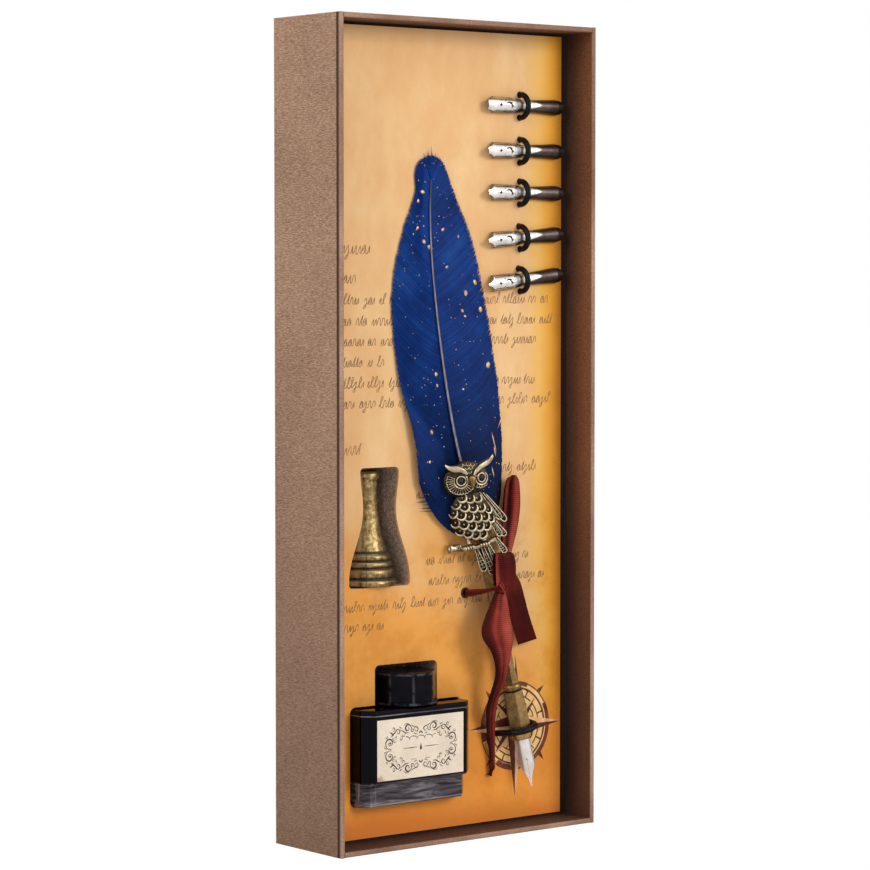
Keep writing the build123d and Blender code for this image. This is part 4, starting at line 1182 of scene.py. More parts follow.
def ring_bar(centre, reach, front, width, start=0.0, end=360.0, lean=0.0, taper=0.0):
    """A ring or part of a ring around a centre; lean is how much the front falls to the right."""
    steps = max(6, int(abs(end - start) / 15))
    points = []
    for step in range(steps + 1):
        angle = math.radians(start + (end - start) * step / steps)
        x = centre[0] + reach[0] * math.cos(angle)
        y = centre[1] + reach[1] * math.sin(angle)
        points.append((x, y, front - lean * (x - centre[0])))
    return bar(points, width, taper)


def feather_axes(shoulder, tip):
    """Where a long feather starts and ends, and which way is along it and aside."""
    start, end = Vector(shoulder), Vector(tip)
    along = (end - start).normalized()
    return start, end, along, Vector((-along.y, along.x))


def hairpin(shoulder, tip, half_width, front, width, falls):
    """A long feather's raised edge: up one side, round its tip and down the other."""
    start, end, along, aside = feather_axes(shoulder, tip)

    def on_edge(share, side):
        place = start.lerp(end, share) + side * aside * half_width * (0.45 + 0.55 * min(1.0, share / 0.7))
        return (place.x, place.y, front - falls * share)

    shares = (0.0, 0.35, 0.7, 0.9)
    points = [on_edge(share, 1) for share in shares]
    for turn in (60, 90, 120):
        angle = math.radians(turn)
        place = end - along * half_width + half_width * (aside * math.cos(angle) + along * math.sin(angle))
        points.append((place.x, place.y, front - falls))
    points += [on_edge(share, -1) for share in reversed(shares)]
    return bar(points, width, taper=0.3)


def feather_plate(name, shoulder, tip, half_width, front, back, material):
    """The dark plate between a long feather's edges."""
    start, end, along, aside = feather_axes(shoulder, tip)
    corner = end - along * half_width * 0.7
    wide, near_tip, at_root = (aside * half_width * share for share in (1.0, 0.9, 0.5))
    outline = [start + at_root, start.lerp(end, 0.6) + wide, corner + near_tip, end,
               corner - near_tip, start.lerp(end, 0.6) - wide, start - at_root]
    return cast_form(name, [tuple(place) for place in outline], lambda place: front, back, material, rings=3)


def scale_template():
    """One body feather: a dished plate with a raised rim round its lower edge."""
    body = bmesh.new()
    steps, sides = 12, 6
    rim = []
    for step in range(steps + 1):
        angle = math.radians(170 + 200 * step / steps)
        x, y = 1.72 * math.cos(angle), 1.9 * math.sin(angle)
        thick = 0.22 + 0.34 * math.sin(math.pi * step / steps) ** 1.5
        outward = Vector((math.cos(angle), math.sin(angle), 0))
        section = []
        for side in range(sides):
            around = 2 * math.pi * side / sides
            offset = outward * math.cos(around) + Vector((0, 0, 1)) * math.sin(around)
            section.append(body.verts.new(Vector((x, y, 0.42)) + thick * offset))
        rim.append(section)
    for before, after in zip(rim, rim[1:]):
        for side in range(sides):
            beside = (side + 1) % sides
            body.faces.new((before[side], before[beside], after[beside], after[side]))
    body.faces.new(rim[0])
    body.faces.new(list(reversed(rim[-1])))
    bead = Matrix.Translation((0.0, -0.1, 0.0)) @ Matrix.Diagonal((0.36, 0.6, 0.34, 1.0))
    bmesh.ops.create_icosphere(body, subdivisions=1, radius=1.0, matrix=bead)
    bmesh.ops.recalc_face_normals(body, faces=body.faces)
    return made_of("body_feather", body)


def owl_scales(material):
    """The body feathers, each tilted as the body's front is."""
    places = []
    lean = Euler((0, 0, math.radians(20))).to_matrix()
    for x, y in scale_places:
        front = body_front((x, y))
        slope_x = body_front((x + 0.5, y)) - body_front((x - 0.5, y))
        slope_y = body_front((x, y + 0.5)) - body_front((x, y - 0.5))
        tilt = Euler((math.atan(slope_y) * 0.9 - 0.16, -math.atan(slope_x) * 0.9, 0)).to_matrix() @ lean
        turn = (pen_axes @ tilt).to_euler()
        size = 1.04 if x < 2 else 0.84
        places.append((on_pen(x, y + 0.6, front), tuple(turn), (size * mm,) * 3))
    return copies("owl_scales", scale_template(), places, material)


def eye(centre, reach, front, lean, bars):
    """Raised rings round a domed pupil, with a deep band between them."""
    bars.append(ring_bar(centre, reach, front, 0.27, lean=lean))
    outer_centre = (centre[0] - 0.1, centre[1] - 0.2)
    outer_reach = (reach[0] + 0.9, reach[1] + 0.9)
    bars.append(ring_bar(outer_centre, outer_reach, front - 0.3, 0.36,
                         start=140, end=400, lean=lean, taper=0.5))


def owl():
    """The owl's casting on its branch: dark forms under bars that are rubbed bright."""
    silver, rubbed_and_highlit, brass, black = antique_silver(), rubbed_silver(), antique_brass(), pupil_black()

    def left_brow_front(place):
        return 8.0 + 0.03 * place[0] - 0.25 * abs(place[1] - 90.6) ** 1.2

    def right_brow_front(place):
        return 7.3 - 0.36 * max(0.0, place[0])

    def beak_front(place):
        return 8.4 - 0.5 * abs(place[0] + 1.2) - 0.12 * abs(place[1] - 85.4)

    pieces = [
        cast_form("body", owl_body_outline, body_front, 2.6, silver),
        cast_form("head", owl_head_outline, head_front, 2.8, silver),
        cast_form("left_brow", left_brow, left_brow_front, 5.6, rubbed_and_highlit, rings=5, edge_drop=0.5),
        cast_form("right_brow", right_brow, right_brow_front, 2.6, rubbed_and_highlit, rings=5, edge_drop=0.5),
        cast_form("beak", beak_outline, beak_front, 5.6, brass, rings=5, edge_drop=0.4),
        owl_scales(rubbed_and_highlit),
    ]
    bars = []
    left_eye, right_eye = (-5.6, 86.2), (2.5, 85.7)
    eye(left_eye, (1.75, 1.75), 7.5, 0.02, bars)
    eye(right_eye, (1.5, 1.7), 6.5, 0.3, bars)
    for name, centre, front in (("left_pupil", left_eye, 7.0), ("right_pupil", right_eye, 5.9)):
        turns = [turn * math.pi / 6 for turn in range(12)]
        ring = [(centre[0] + 1.15 * math.cos(turn), centre[1] + 1.2 * math.sin(turn)) for turn in turns]

        def pupil_front(place):
            away = math.hypot(place[0] - centre[0], place[1] - centre[1]) / 1.2
            return front + 0.35 * (1 - min(1.0, away) ** 2)

        pieces.append(cast_form(name, ring, pupil_front, 4.0, black, rings=5))
    # the face feathers that fan out from each eye
    fans = ((left_eye, 145, 320, 2.9, 4.9, 15), (right_eye, 228, 300, 2.7, 3.5, 5))
    for (across, up), first, last, near, far, count in fans:
        up -= 0.3
        for number in range(count):
            angle = math.radians(first + (last - first) * number / (count - 1))
            inner = (across + near * math.cos(angle), up + near * math.sin(angle))
            outer = (across + far * math.cos(angle), up + far * 0.93 * math.sin(angle))
            bars.append(bar([(*inner, head_front(inner) + 0.35), (*outer, head_front(outer) + 0.2)], 0.17))
            if number:
                degrees = first + (last - first) * (number - 0.5) / (count - 1)
                middle = math.radians(degrees)
                tip = (across + far * 1.04 * math.cos(middle), up + far * 0.97 * math.sin(middle))
                bars.append(ring_bar(tip, (0.5, 0.5), head_front(tip) + 0.2, 0.2,
                                     start=degrees - 95, end=degrees + 95, taper=0.3))
    # the crown's small feathers
    for x, y, size in crown_feathers:
        height = head_front((x, y)) + 0.25
        bars.append(ring_bar((x, y), (size, size), height, 0.2, start=180, end=360, taper=0.4))
    # wing, lower wing and tail: dark plates with bright edges
    for number, (shoulder, tip, half_width, front, falls) in enumerate(long_feathers):
        bars.append(hairpin(shoulder, tip, half_width, front, 0.26, falls))
        start, end, _, aside = feather_axes(shoulder, tip)
        quill = [(*start.lerp(end, 0.15), front - 0.5), (*start.lerp(end, 0.8), front - 0.5 - falls)]
        bars.append(bar(quill, 0.14))
        aside *= 0.75 * half_width
        for share in (0.25, 0.4, 0.55, 0.7, 0.85):
            middle = start.lerp(end, share)
            height = front - 0.4 - falls * share
            bars.append(bar([(*(middle - aside), height), (*(middle + aside), height)], 0.12))
        low = front - falls - 0.6
        pieces.append(feather_plate("feather_%d" % number, shoulder, tip, half_width, low, low - 1.3, silver))
    # the branch, hollow and flared at its left end, with the toes wrapped over it
    branch_end = on_pen(-14.6, 60.9, 5.0)
    inwards = on_pen(-9.4, 59.5, 4.0) - branch_end
    pieces.append(turned("branch_end", branch_flare, branch_end, inwards, rubbed_and_highlit, sides=20))
    pieces.append(turned("branch_hollow", branch_hollow, branch_end, inwards, black, sides=20))
    for across, reach, width in ((-12.0, 1.3, 0.24), (-11.3, 1.25, 0.22), (-10.6, 1.2, 0.22)):
        points = []
        for step in range(13):
            angle = math.radians(30 * step)
            rise, out = reach * math.sin(angle), reach * math.cos(angle)
            points.append((across + 0.42 * math.cos(angle), 60.5 + rise, 4.4 + out))
        bars.append(bar(points, width))
    bars.append(bar(branch_run, 1.0))
    for across in (-8.3, -7.3, -6.3, -5.3, -2.2, -1.2, -0.2, 0.8):
        middle = 59.25 if across > -4 else 59.15
        points = []
        for step in range(9):
            angle = math.radians(-70 + 220 * step / 8)
            points.append((across, middle + 1.25 * math.sin(angle), 3.6 + 1.25 * math.cos(angle)))
        bars.append(bar(points, 0.42, taper=0.4))
    for across in (-6.8, -0.7):
        bars.append(bar([(across, 63.0, 4.2), (across, 61.2, 4.5)], 0.9))
    rims = swept("owl_rims", bars, rubbed_and_highlit)
    return joined("owl_casting", [rims] + pieces)
# ------------------------------------------------------------------ ribbon
# Places on the ribbon are (across, up) from its knot and how far above the card they lie.
knot_place = (16.8, 94.9)
ribbon_thickness = 0.3 * mm


def by_knot(across, up, height):
    return at(knot_place[0] + across, card_face - height, knot_place[1] + up)


def satin():
    """Wine red satin: fine cross ribs and a soft sheen, with painted sheen and shade from a tone kept on its
    points, and painted shade in its folds.
    """
    sheen = {"sheen_weight": 0.02, "sheen_roughness": 0.4, "sheen_tint": (1.0, 0.5, 0.45, 1)}
    cloth = Finish("wine_satin", specular_ior_level=0.06, **sheen)
    along = cloth.node("ShaderNodeUVMap", {"uv_map": "along"})
    across, length = cloth.split(along, "XY")
    tone = cloth.node("ShaderNodeAttribute", {"attribute_name": "tone"}, {}, "Fac")
    ribs_a_metre, threads_a_metre = 7800.0, 15000.0
    ribs = (length * ribs_a_metre).sine()
    threads = (across * threads_a_metre).sine()
    drift = cloth.noise(cloth.place(), 130.0, 3.0, 0.6)
    folds = cloth.hollow(2.5 * mm)
    # the tone kept on its points is painted sheen and shade
    colour = cloth.colours(
        tone + (drift - 0.5) * 0.4 + ribs * 0.07 + threads * 0.05,
        (0.0, shade(32, 5, 5)),
        (0.35, shade(90, 20, 14)),
        (0.7, shade(156, 64, 52)),
        (1.0, shade(204, 112, 92)),
    )
    # painted shade: darker deep in its folds
    cloth.set("Base Color", cloth.mix(shade(34, 8, 10), colour, folds.ramp(0.15, 0.75)))
    cloth.set("Roughness", 0.36 + 0.2 * drift)
    cloth.relief(0.6 * ribs + 0.4 * threads, 0.06 * mm, 0.5)
    return cloth.material


def satin_strip(name, rows, material, tones):
    """A length of ribbon. Each row is its left edge (across, up, height), its right edge, how far
    its middle stands out, where across it, how deep and how wide a groove runs, and how much
    lighter it is painted. A row that ends early is plain from there on. The tones, painted sheen
    and shade, are its own and those of streaks: place across, width and tone."""
    plain = (0.0, 0.5, 0.0, 0.2, 0.0)
    full_rows = [row + plain[len(row) - 6:] for row in rows]
    across, steps = 24, 7
    surface = []
    shades = []
    for row in smooth_values(full_rows, steps):
        left, right = Vector(row[0:3]), Vector(row[3:6])
        bulge, groove_at, groove_depth, groove_width = row[6:10]
        line = []
        for column in range(across + 1):
            share = column / across
            point = left.lerp(right, share)
            lift = bulge * math.sin(math.pi * share)
            lift -= groove_depth * math.exp(-((share - groove_at) / groove_width) ** 2)
            line.append(by_knot(point.x, point.y, point.z + lift))
            streaks = [tone * math.exp(-((share - centre) / width) ** 2) for centre, width, tone in tones[1:]]
            shades.append(sum(streaks) + tones[0] + row[10])
        surface.append(line)
    made = skin(name, surface, material)
    store(made.data, "tone", shades)
    thicken(made, ribbon_thickness)
    return made


def satin_tube(name, points, sizes, material, tones, twist=0.0):
    """A gathered length of ribbon along (across, up, height) points; sizes are its half sizes.
    The tones, painted sheen and shade, are its own, its pleats' and how much lighter it gets along it."""
    sides, rounds = 20, 48
    line = evenly(smooth_line([by_knot(*point) for point in points], 8), rounds)
    wanted = smooth_values(sizes, 16)
    rows = []
    shades = []
    for index, point in enumerate(line):
        share = index / (len(line) - 1)
        ahead = (line[min(index + 1, len(line) - 1)] - line[max(index - 1, 0)]).normalized()
        aside = ahead.cross(Vector(to_front)).normalized()
        outward = aside.cross(ahead).normalized()
        wide, deep = wanted[round(share * (len(wanted) - 1))]
        turn = twist * share
        row = []
        for side in range(sides):
            angle = 2 * math.pi * side / sides
            pleat = 1 + 0.1 * math.sin(3 * angle + 2 * turn)
            x, y = wide * math.cos(angle) * pleat, deep * math.sin(angle) * pleat
            along_side = x * math.cos(turn) - y * math.sin(turn)
            out = x * math.sin(turn) + y * math.cos(turn)
            row.append(point + mm * (aside * along_side + outward * out))
            shades.append(tones[0] + tones[1] * math.sin(3 * angle + 2 * turn) + tones[2] * share)
        rows.append(row)
    made = skin(name, rows, material, closed=True)
    store(made.data, "tone", shades)
    closing = bmesh.new()
    closing.from_mesh(made.data)
    bmesh.ops.holes_fill(closing, edges=[edge for edge in closing.edges if edge.is_boundary])
    bmesh.ops.recalc_face_normals(closing, faces=closing.faces)
    closing.to_mesh(made.data)
    closing.free()
    return made


def ribbon():
    """The tied ribbon: two loops, two tails, the band over the barrel and the knot."""
    cloth = satin()
    pieces = [
        # tall loop: its back length, then the front one with the opening at its top, darkened by painted
        # shade
        satin_strip("tall_loop_back", (
            (0.4, 2.0, 9.2, 2.6, 1.2, 9.2, 0.0),
            (2.6, 8.6, 7.4, 6.0, 7.2, 7.4, 0.0),
            (6.3, 21.0, 3.6, 11.6, 19.8, 3.6, -0.2),
            (7.8, 34.0, 3.1, 14.2, 33.6, 3.1, -0.2),
            (9.0, 40.6, 3.4, 13.4, 40.6, 3.4, 0.0),
            (10.6, 42.0, 4.3, 12.2, 42.0, 4.3, 0.0),
        ), cloth, (0.25,)),
        satin_strip("tall_loop_front", (
            (-0.6, 1.6, 9.6, 2.6, 0.6, 9.6, 0.5, 0.5, 0.0, 0.2, -0.2),
            (1.4, 6.6, 8.9, 4.8, 6.0, 8.9, 0.6, 0.5, 0.0, 0.2, -0.05),
            (4.6, 13.6, 6.2, 9.2, 13.4, 6.2, 0.9, 0.5, 0.0, 0.2, 0.08),
            (6.0, 22.0, 4.6, 13.4, 21.8, 4.5, 1.0, 0.28, 0.5, 0.2, 0.05),
            (6.8, 30.0, 4.4, 15.0, 29.6, 4.2, 1.1, 0.30, 1.3, 0.13, 0.0),
            (7.4, 36.6, 4.4, 15.0, 35.6, 4.2, 1.3, 0.34, 2.1, 0.13, 0.0),
            (8.3, 40.6, 4.5, 14.2, 40.2, 4.4, 1.2, 0.42, 2.0, 0.14, -0.02),
            (10.6, 42.5, 4.6, 12.6, 42.4, 4.6, 0.4, 0.66, 0.3, 0.2, -0.05),
        ), cloth, (0.56, (0.0, 0.1, -0.06), (0.3, 0.14, -0.55), (0.72, 0.2, 0.12), (1.0, 0.06, -0.16))),
        # short folded loop
        satin_strip("short_loop_back", (
            (-1.4, -1.2, 9.6, 2.6, -1.4, 9.6, 0.0),
            (-3.0, 5.0, 9.7, 6.2, 3.8, 9.7, -0.1),
            (-3.1, 12.0, 9.9, 6.6, 10.6, 9.9, 0.0),
            (-2.7, 13.4, 10.6, 5.2, 13.3, 10.6, 0.0),
        ), cloth, (0.2,)),
        satin_strip("short_loop_front", (
            (-2.2, -1.0, 11.2, 7.4, 1.2, 10.4, 0.5, 0.7, 0.2, 0.2, 0.12),
            (-3.0, 3.6, 11.7, 7.2, 4.2, 11.0, 0.5, 0.3, 0.5, 0.12, 0.12),
            (-3.4, 8.6, 12.0, 7.0, 8.4, 11.3, 0.4, 0.3, 0.7, 0.14, 0.0),
            (-3.4, 12.2, 11.9, 6.2, 12.0, 11.3, 0.3, 0.3, 0.4, 0.16, 0.0),
            (-2.6, 13.6, 11.0, 5.0, 13.5, 10.9, 0.0, 0.3, 0.0, 0.2, 0.0),
        ), cloth, (0.1, (0.0, 0.16, 0.46), (0.62, 0.2, 0.1), (0.95, 0.06, 0.14))),
        # the two tails
        satin_strip("right_tail", (
            (-1.2, 1.6, 10.4, 8.2, 4.4, 10.2, 0.2, 0.5, 0.0, 0.2, 0.06),
            (1.4, -2.0, 10.3, 10.2, 1.4, 10.3, 0.35, 0.3, 0.3, 0.1, 0.1),
            (4.6, -6.6, 8.7, 13.6, -4.2, 8.5, 0.35, 0.4, 0.2, 0.1, 0.0),
            (9.8, -14.6, 5.8, 18.6, -12.2, 5.6, 0.25, 0.5, 0.0, 0.2, -0.04),
            (15.2, -23.6, 3.1, 24.6, -22.0, 3.1, 0.1),
        ), cloth, (0.2, (1.0, 0.08, 0.12), (0.0, 0.05, 0.08))),
        satin_strip("left_tail", (
            (-1.4, 0.8, 10.4, 2.0, 0.2, 10.4, 0.3, 0.35, 0.3, 0.12, -0.1),
            (-5.4, -6.6, 10.6, 3.6, -6.6, 10.8, 0.4, 0.36, 0.6, 0.1, 0.0),
            (-8.6, -14.0, 10.3, 5.0, -14.0, 10.8, 0.5, 0.38, 0.9, 0.09, 0.06),
            (-8.4, -18.8, 10.2, 6.4, -19.2, 10.6, 0.6, 0.4, 1.0, 0.08, 0.06),
            (-4.6, -24.0, 10.4, 5.6, -25.0, 10.4, 0.8, 0.36, 0.6, 0.1, -0.02),
            (-2.6, -29.0, 10.4, 4.2, -31.0, 10.2, 0.8, 0.3, 0.3, 0.1, -0.12),
            (-2.0, -35.0, 9.6, 3.3, -36.2, 9.4, 0.6, 0.3, 0.2, 0.1, -0.2),
            (-3.2, -45.0, 6.6, 2.2, -44.0, 6.5, 0.4, 0.5, 0.3, 0.12, -0.2),
            (-2.3, -50.6, 5.0, 2.4, -50.0, 4.9, 0.3, 0.5, 0.4, 0.12, -0.12),
            (-0.4, -57.4, 3.0, 3.6, -57.0, 3.0, 0.2, 0.5, 0.3, 0.12, -0.14),
            (1.8, -65.4, 1.9, 4.5, -65.6, 1.9, 0.1, 0.5, 0.2, 0.12, -0.2),
            (2.3, -70.0, 1.3, 4.8, -69.6, 1.3, 0.1, 0.5, 0.1, 0.12, -0.25),
        ), cloth, (0.6, (0.06, 0.30, -0.52), (0.44, 0.05, 0.10), (0.56, 0.09, -0.16), (0.88, 0.14, 0.08))),
        # the gathered end of the left tail
        satin_tube("tail_end", ((2.9, -68.6, 1.3), (3.4, -70.4, 1.5), (3.3, -72.0, 1.1), (2.6, -73.8, 0.9)),
                   ((0.8, 0.5), (1.3, 0.9), (0.7, 0.6), (1.2, 0.3)), cloth, (0.2, 0.1, 0.0)),
        # the band over the barrel, gathered and twisted where it comes out of its hole
        satin_tube("ribbon_band", (
            (-8.8, -2.2, -0.6), (-8.8, -2.2, 0.9), (-7.4, -1.9, 3.4), (-5.0, -1.2, 7.2), (-2.6, -0.5, 9.4),
            (1.2, 0.2, 10.1), (5.0, 1.2, 8.6), (8.0, 2.0, 5.0), (10.6, 2.6, 1.2), (11.2, 2.7, -0.6),
        ), ((1.3, 0.8), (1.4, 0.6), (1.3, 0.7), (1.2, 0.5), (1.4, 0.5), (1.3, 0.6)),
                   cloth, (0.3, 0.16, 0.0), twist=4.5),
        # the knot: two turns over its core
        satin_tube("knot_core", ((-3.0, -0.6, 10.4), (-1.4, 0.1, 11.2), (0.8, 0.3, 11.4), (2.8, 0.8, 10.8)),
                   ((0.8, 0.6), (1.9, 1.0), (1.8, 1.0), (0.9, 0.6)), cloth, (0.24, 0.14, 0.1), twist=1.2),
        satin_tube("knot_turn", ((-1.4, 2.4, 10.4), (-0.9, 1.4, 12.0), (0.4, -0.6, 12.3), (1.6, -2.3, 10.6)),
                   ((0.8, 0.5), (1.0, 0.5), (0.95, 0.5), (0.7, 0.45)), cloth, (0.42, 0.16, 0.1), twist=0.8),
    ]
    return joined("satin_ribbon", pieces)


# ------------------------------------------------------------------ pen stand
# (radius, height) from the stand's foot, up its outside, over its lip and down its socket
stand_profile = (
    (0.0, 0.0), (10.9, 0.0), (11.3, 0.35), (11.4, 1.1), (11.3, 1.9), (10.8, 2.3), (10.0, 2.5), (9.7, 2.9),
    (9.9, 3.3), (10.25, 3.7), (10.4, 4.6), (10.3, 5.7), (9.9, 6.2), (9.3, 6.4), (9.05, 6.8), (9.2, 7.1),
    (9.65, 7.4), (9.8, 8.0), (9.6, 8.8), (9.1, 9.1), (8.75, 9.4), (8.85, 9.7), (9.15, 10.0), (9.3, 10.7),
    (9.1, 11.5), (8.6, 11.9), (8.15, 12.1), (7.95, 12.6), (7.75, 13.4), (7.0, 16.0), (6.3, 19.0),
    (5.7, 22.6), (5.15, 27.5), (4.85, 32.0), (4.75, 36.0), (4.8, 38.6), (4.9, 39.4), (5.2, 39.9),
    (5.5, 40.6), (5.5, 41.7), (5.25, 42.5), (4.7, 43.0), (4.1, 43.1), (3.65, 42.9), (3.5, 42.5),
    (3.5, 16.1), (0.0, 14.6),
)


def turned_stand(material):
    low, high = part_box("pen_stand")
    foot = Vector((0.5 * (low.x + high.x), 0.5 * (low.y + high.y), low.z))
    return turned("turned_stand", stand_profile, foot, Vector((0, 0, 1)), material)


# ------------------------------------------------------------------ prints
def ink_finish(name, deep, deep_level, pale, pale_level):
    """A printed colour, a little uneven as ink on rough paper is."""
    finish = Finish(name, roughness=0.6, specular_ior_level=0.3)
    uneven = finish.noise(finish.place(), 420.0, 4.0, 0.65)
    finish.set("Base Color", finish.colours(uneven, (deep_level, shade(*deep)), (pale_level, shade(*pale))))
    return finish.material


def printed(name, outlines, material, level):
    """Flat areas of ink on the card: outlines of (across, up), each with an optional inner outline."""
    body = bmesh.new()

    def loop_of(outline):
        return [body.verts.new(at(x, card_face - level, z)) for x, z in outline]

    for outline, inner in outlines:
        outer_loop = loop_of(outline)
        if not inner:
            body.faces.new(outer_loop)
            continue
        inner_loop = loop_of(inner)
        for index in range(len(outline)):
            beside = (index + 1) % len(outline)
            body.faces.new((outer_loop[index], outer_loop[beside], inner_loop[beside], inner_loop[index]))
    thick = bmesh.ops.extrude_face_region(body, geom=body.faces[:])
    moved = [item for item in thick["geom"] if isinstance(item, bmesh.types.BMVert)]
    bmesh.ops.translate(body, verts=moved, vec=Vector((0, (level - 0.01) * mm, 0)))
    bmesh.ops.recalc_face_normals(body, faces=body.faces)
    return made_of(name, body, material, smooth=False)


rose = (33.0, 39.3)
# rings of the rose: inner and outer radius, and where a part of a ring starts and ends, in degrees
rose_fields = ((0.01, 15.9), (15.9, 17.0, 250, 292), (15.9, 16.8, 20, 62))
rose_rings = (
    (15.6, 17.4, 62, 150), (16.0, 17.3, 150, 172), (15.2, 17.4, 172, 214), (16.9, 17.3, 214, 252),
    (15.0, 17.2, 252, 306), (16.6, 17.2, 306, 356), (15.6, 17.3, 356, 382), (16.6, 17.1, 382, 422),
    (14.3, 15.1), (11.5, 12.05), (9.5, 9.95), (6.1, 6.7),
)


def around_rose(radius, degrees):
    angle = math.radians(degrees)
    return (rose[0] + radius * math.sin(angle), rose[1] + radius * math.cos(angle))


def area(*corners):
    """One outline round the rose, from (radius, degrees) corners."""
    return [around_rose(*corner) for corner in corners], None


def arc_band(inner, outer, start=0.0, end=360.0):
    """An outline and its inner outline for a ring, or one outline for a part of a ring."""
    whole = abs(end - start) >= 360
    steps = max(4, int(abs(end - start) / 5))
    turns = [start + (end - start) * step / steps for step in range(steps + (0 if whole else 1))]
    outside = [around_rose(outer, turn) for turn in turns]
    inside = [around_rose(inner, turn) for turn in turns]
    return (outside, inside) if whole else (outside + inside[::-1], None)


def compass_rose():
    """A printed compass rose: rings, ticks, and star points in two tones."""
    brown = ink_finish("brown_print", (84, 36, 26), 0.35, (128, 66, 42), 0.6)
    dark = ink_finish("dark_brown_print", (70, 28, 22), 0.35, (104, 48, 34), 0.62)
    cream = ink_finish("cream_print", (236, 186, 112), 0.35, (250, 212, 146), 0.62)
    peach = ink_finish("peach_print", (226, 160, 104), 0.35, (246, 200, 150), 0.62)
    lines = [arc_band(*ring) for ring in rose_rings]
    for number in range(16):
        turn = 22.5 * number + 4
        reach = (12.0, 14.6) if number % 2 else (9.8, 12.0)
        lines.append(arc_band(*reach, turn - 1.5, turn + 1.5))
    for number in range(8):
        turn = 45 * number + 20
        lines.append(area((6.5, turn - 6), (9.6, turn + 7), (9.7, turn + 10), (6.6, turn - 1)))
    light, shaded = [], []
    for turn, reach in ((0, 27.5), (90, 23.2), (180, 27.6), (270, 23.1)):
        light.append(area((0, 0), (5.2, turn - 45), (reach, turn)))
        shaded.append(area((0, 0), (reach, turn), (5.2, turn + 45)))
    for turn in (45, 135, 225, 315):
        shaded.append(area((0, 0), (14.3, turn), (6.2, turn + 22)))
        light.append(area((0, 0), (6.2, turn - 22), (14.3, turn)))
        lines.append(area((17.2, turn - 4.5), (20.8, turn), (17.2, turn + 2.0)))
    fields = [arc_band(*ring) for ring in rose_fields]
    layers = (("rose_field", fields, cream, 0.03), ("rose_rings", lines, brown, 0.05),
              ("rose_light_points", light, peach, 0.07), ("rose_dark_points", shaded, dark, 0.09))
    return [printed(*layer) for layer in layers]


def open_card(x, z):
    """Whether there is card to draw on, clear of the recesses."""
    in_stand = -48.5 < x < -18.0 and 95.5 < z < 144.0
    in_bottle = -50.0 < x < 8.0 and z < 78.0
    return not in_stand and not in_bottle and -51.5 < x < 52.5


# rows of a made-up running hand, from the card's left edge: how high each lies, where it ends, and
# its letter height
hand_left = -51
practice = (
    (222.2, -26, 3.3), (211.4, -39, 3.0), (203.5, 52, 2.6), (195.6, 52, 2.6), (188.0, 52, 2.6),
    (180.2, -26, 2.6), (172.4, 45, 2.6), (164.8, 49, 2.6), (147.6, -38, 3.0), (138.6, 44, 2.6),
    (129.8, 22, 2.6), (114.6, -42, 3.0), (104.6, 47, 2.5), (96.6, 51, 2.5), (88.8, 38, 2.5),
    (81.4, -24, 2.6),
)
# the strokes it is made of: how far each moves on, and its places, in letter heights
hand_strokes = (
    (0.75, ((0.0, 0.1), (0.12, 0.9), (0.38, 1.0), (0.55, 0.1))),
    (0.85, ((0.0, 0.15), (0.45, 0.95), (0.1, 0.8), (0.05, 0.15), (0.4, 0.05), (0.5, 0.85), (0.62, 0.1))),
    (0.7, ((0.0, 0.1), (0.45, 1.2), (0.42, 1.6), (0.22, 1.4), (0.2, 0.3), (0.45, 0.05))),
    (0.7, ((0.0, 0.5), (0.3, 0.95), (0.35, 0.0), (0.2, -0.6), (-0.05, -0.5), (0.4, 0.1))),
    (0.5, ((0.0, 0.1), (0.2, 0.95), (0.3, 0.1))),
    (0.55, ((0.0, 0.3), (0.32, 1.5), (0.25, 0.6), (0.25, 0.05), (0.4, 0.1))),
)
stroke_shares = (0, 0, 1, 1, 4, 4, 4, 2, 3, 5)


def practice_rows():
    """Rows of a made-up running hand on the card: arches, ovals and loops that spell nothing."""
    faded = ink_finish("faded_pen_strokes", (132, 96, 68), 0.35, (190, 144, 100), 0.62)
    random_source = random.Random(21)
    lines = []
    for up, end, height in practice:
        x = hand_left + random_source.uniform(0, 1.5)
        while x < end:
            points = []
            for number in range(random_source.randint(2, 7)):
                advance, places = hand_strokes[random_source.choice(stroke_shares)]
                for aside, rise in places:
                    aside += 0.2 * rise + random_source.uniform(-0.04, 0.04)
                    rise += random_source.uniform(-0.06, 0.06)
                    points.append(Vector((x + aside * height, 0, up + rise * height)))
                x += advance * height
            if x < end + 3 and all(open_card(point.x, point.z) for point in points):
                line = []
                for point in smooth_line(points, 3):
                    width = (0.15 + 0.03 * math.sin(2.1 * point.z + point.x)) * mm
                    line.append((at(point.x, card_face - 0.02, point.z), width, to_front))
                lines.append(line)
            x += random_source.uniform(1.2, 2.2)
    return swept("practice_strokes", lines, faded, sides=4, flatness=0.4)


def cord_eyelets():
    """The rolled rims of the ribbon's two punched holes."""
    rim = ink_finish("punched_rim", (34, 20, 14), 0.35, (86, 54, 34), 0.6)
    hole_radius, rim_half_width, sides = 1.75, 0.42, 16
    lines = []
    for across, up in ((8.0, 92.7), (28.0, 97.5)):
        line = []
        for side in range(sides + 1):
            angle = 2 * math.pi * side / sides
            x, z = across + hole_radius * math.cos(angle), up + hole_radius * math.sin(angle)
            line.append((at(x, card_face - 0.1, z), rim_half_width * mm, to_front))
        lines.append(line)
    return swept("ribbon_hole_rims", lines, rim)


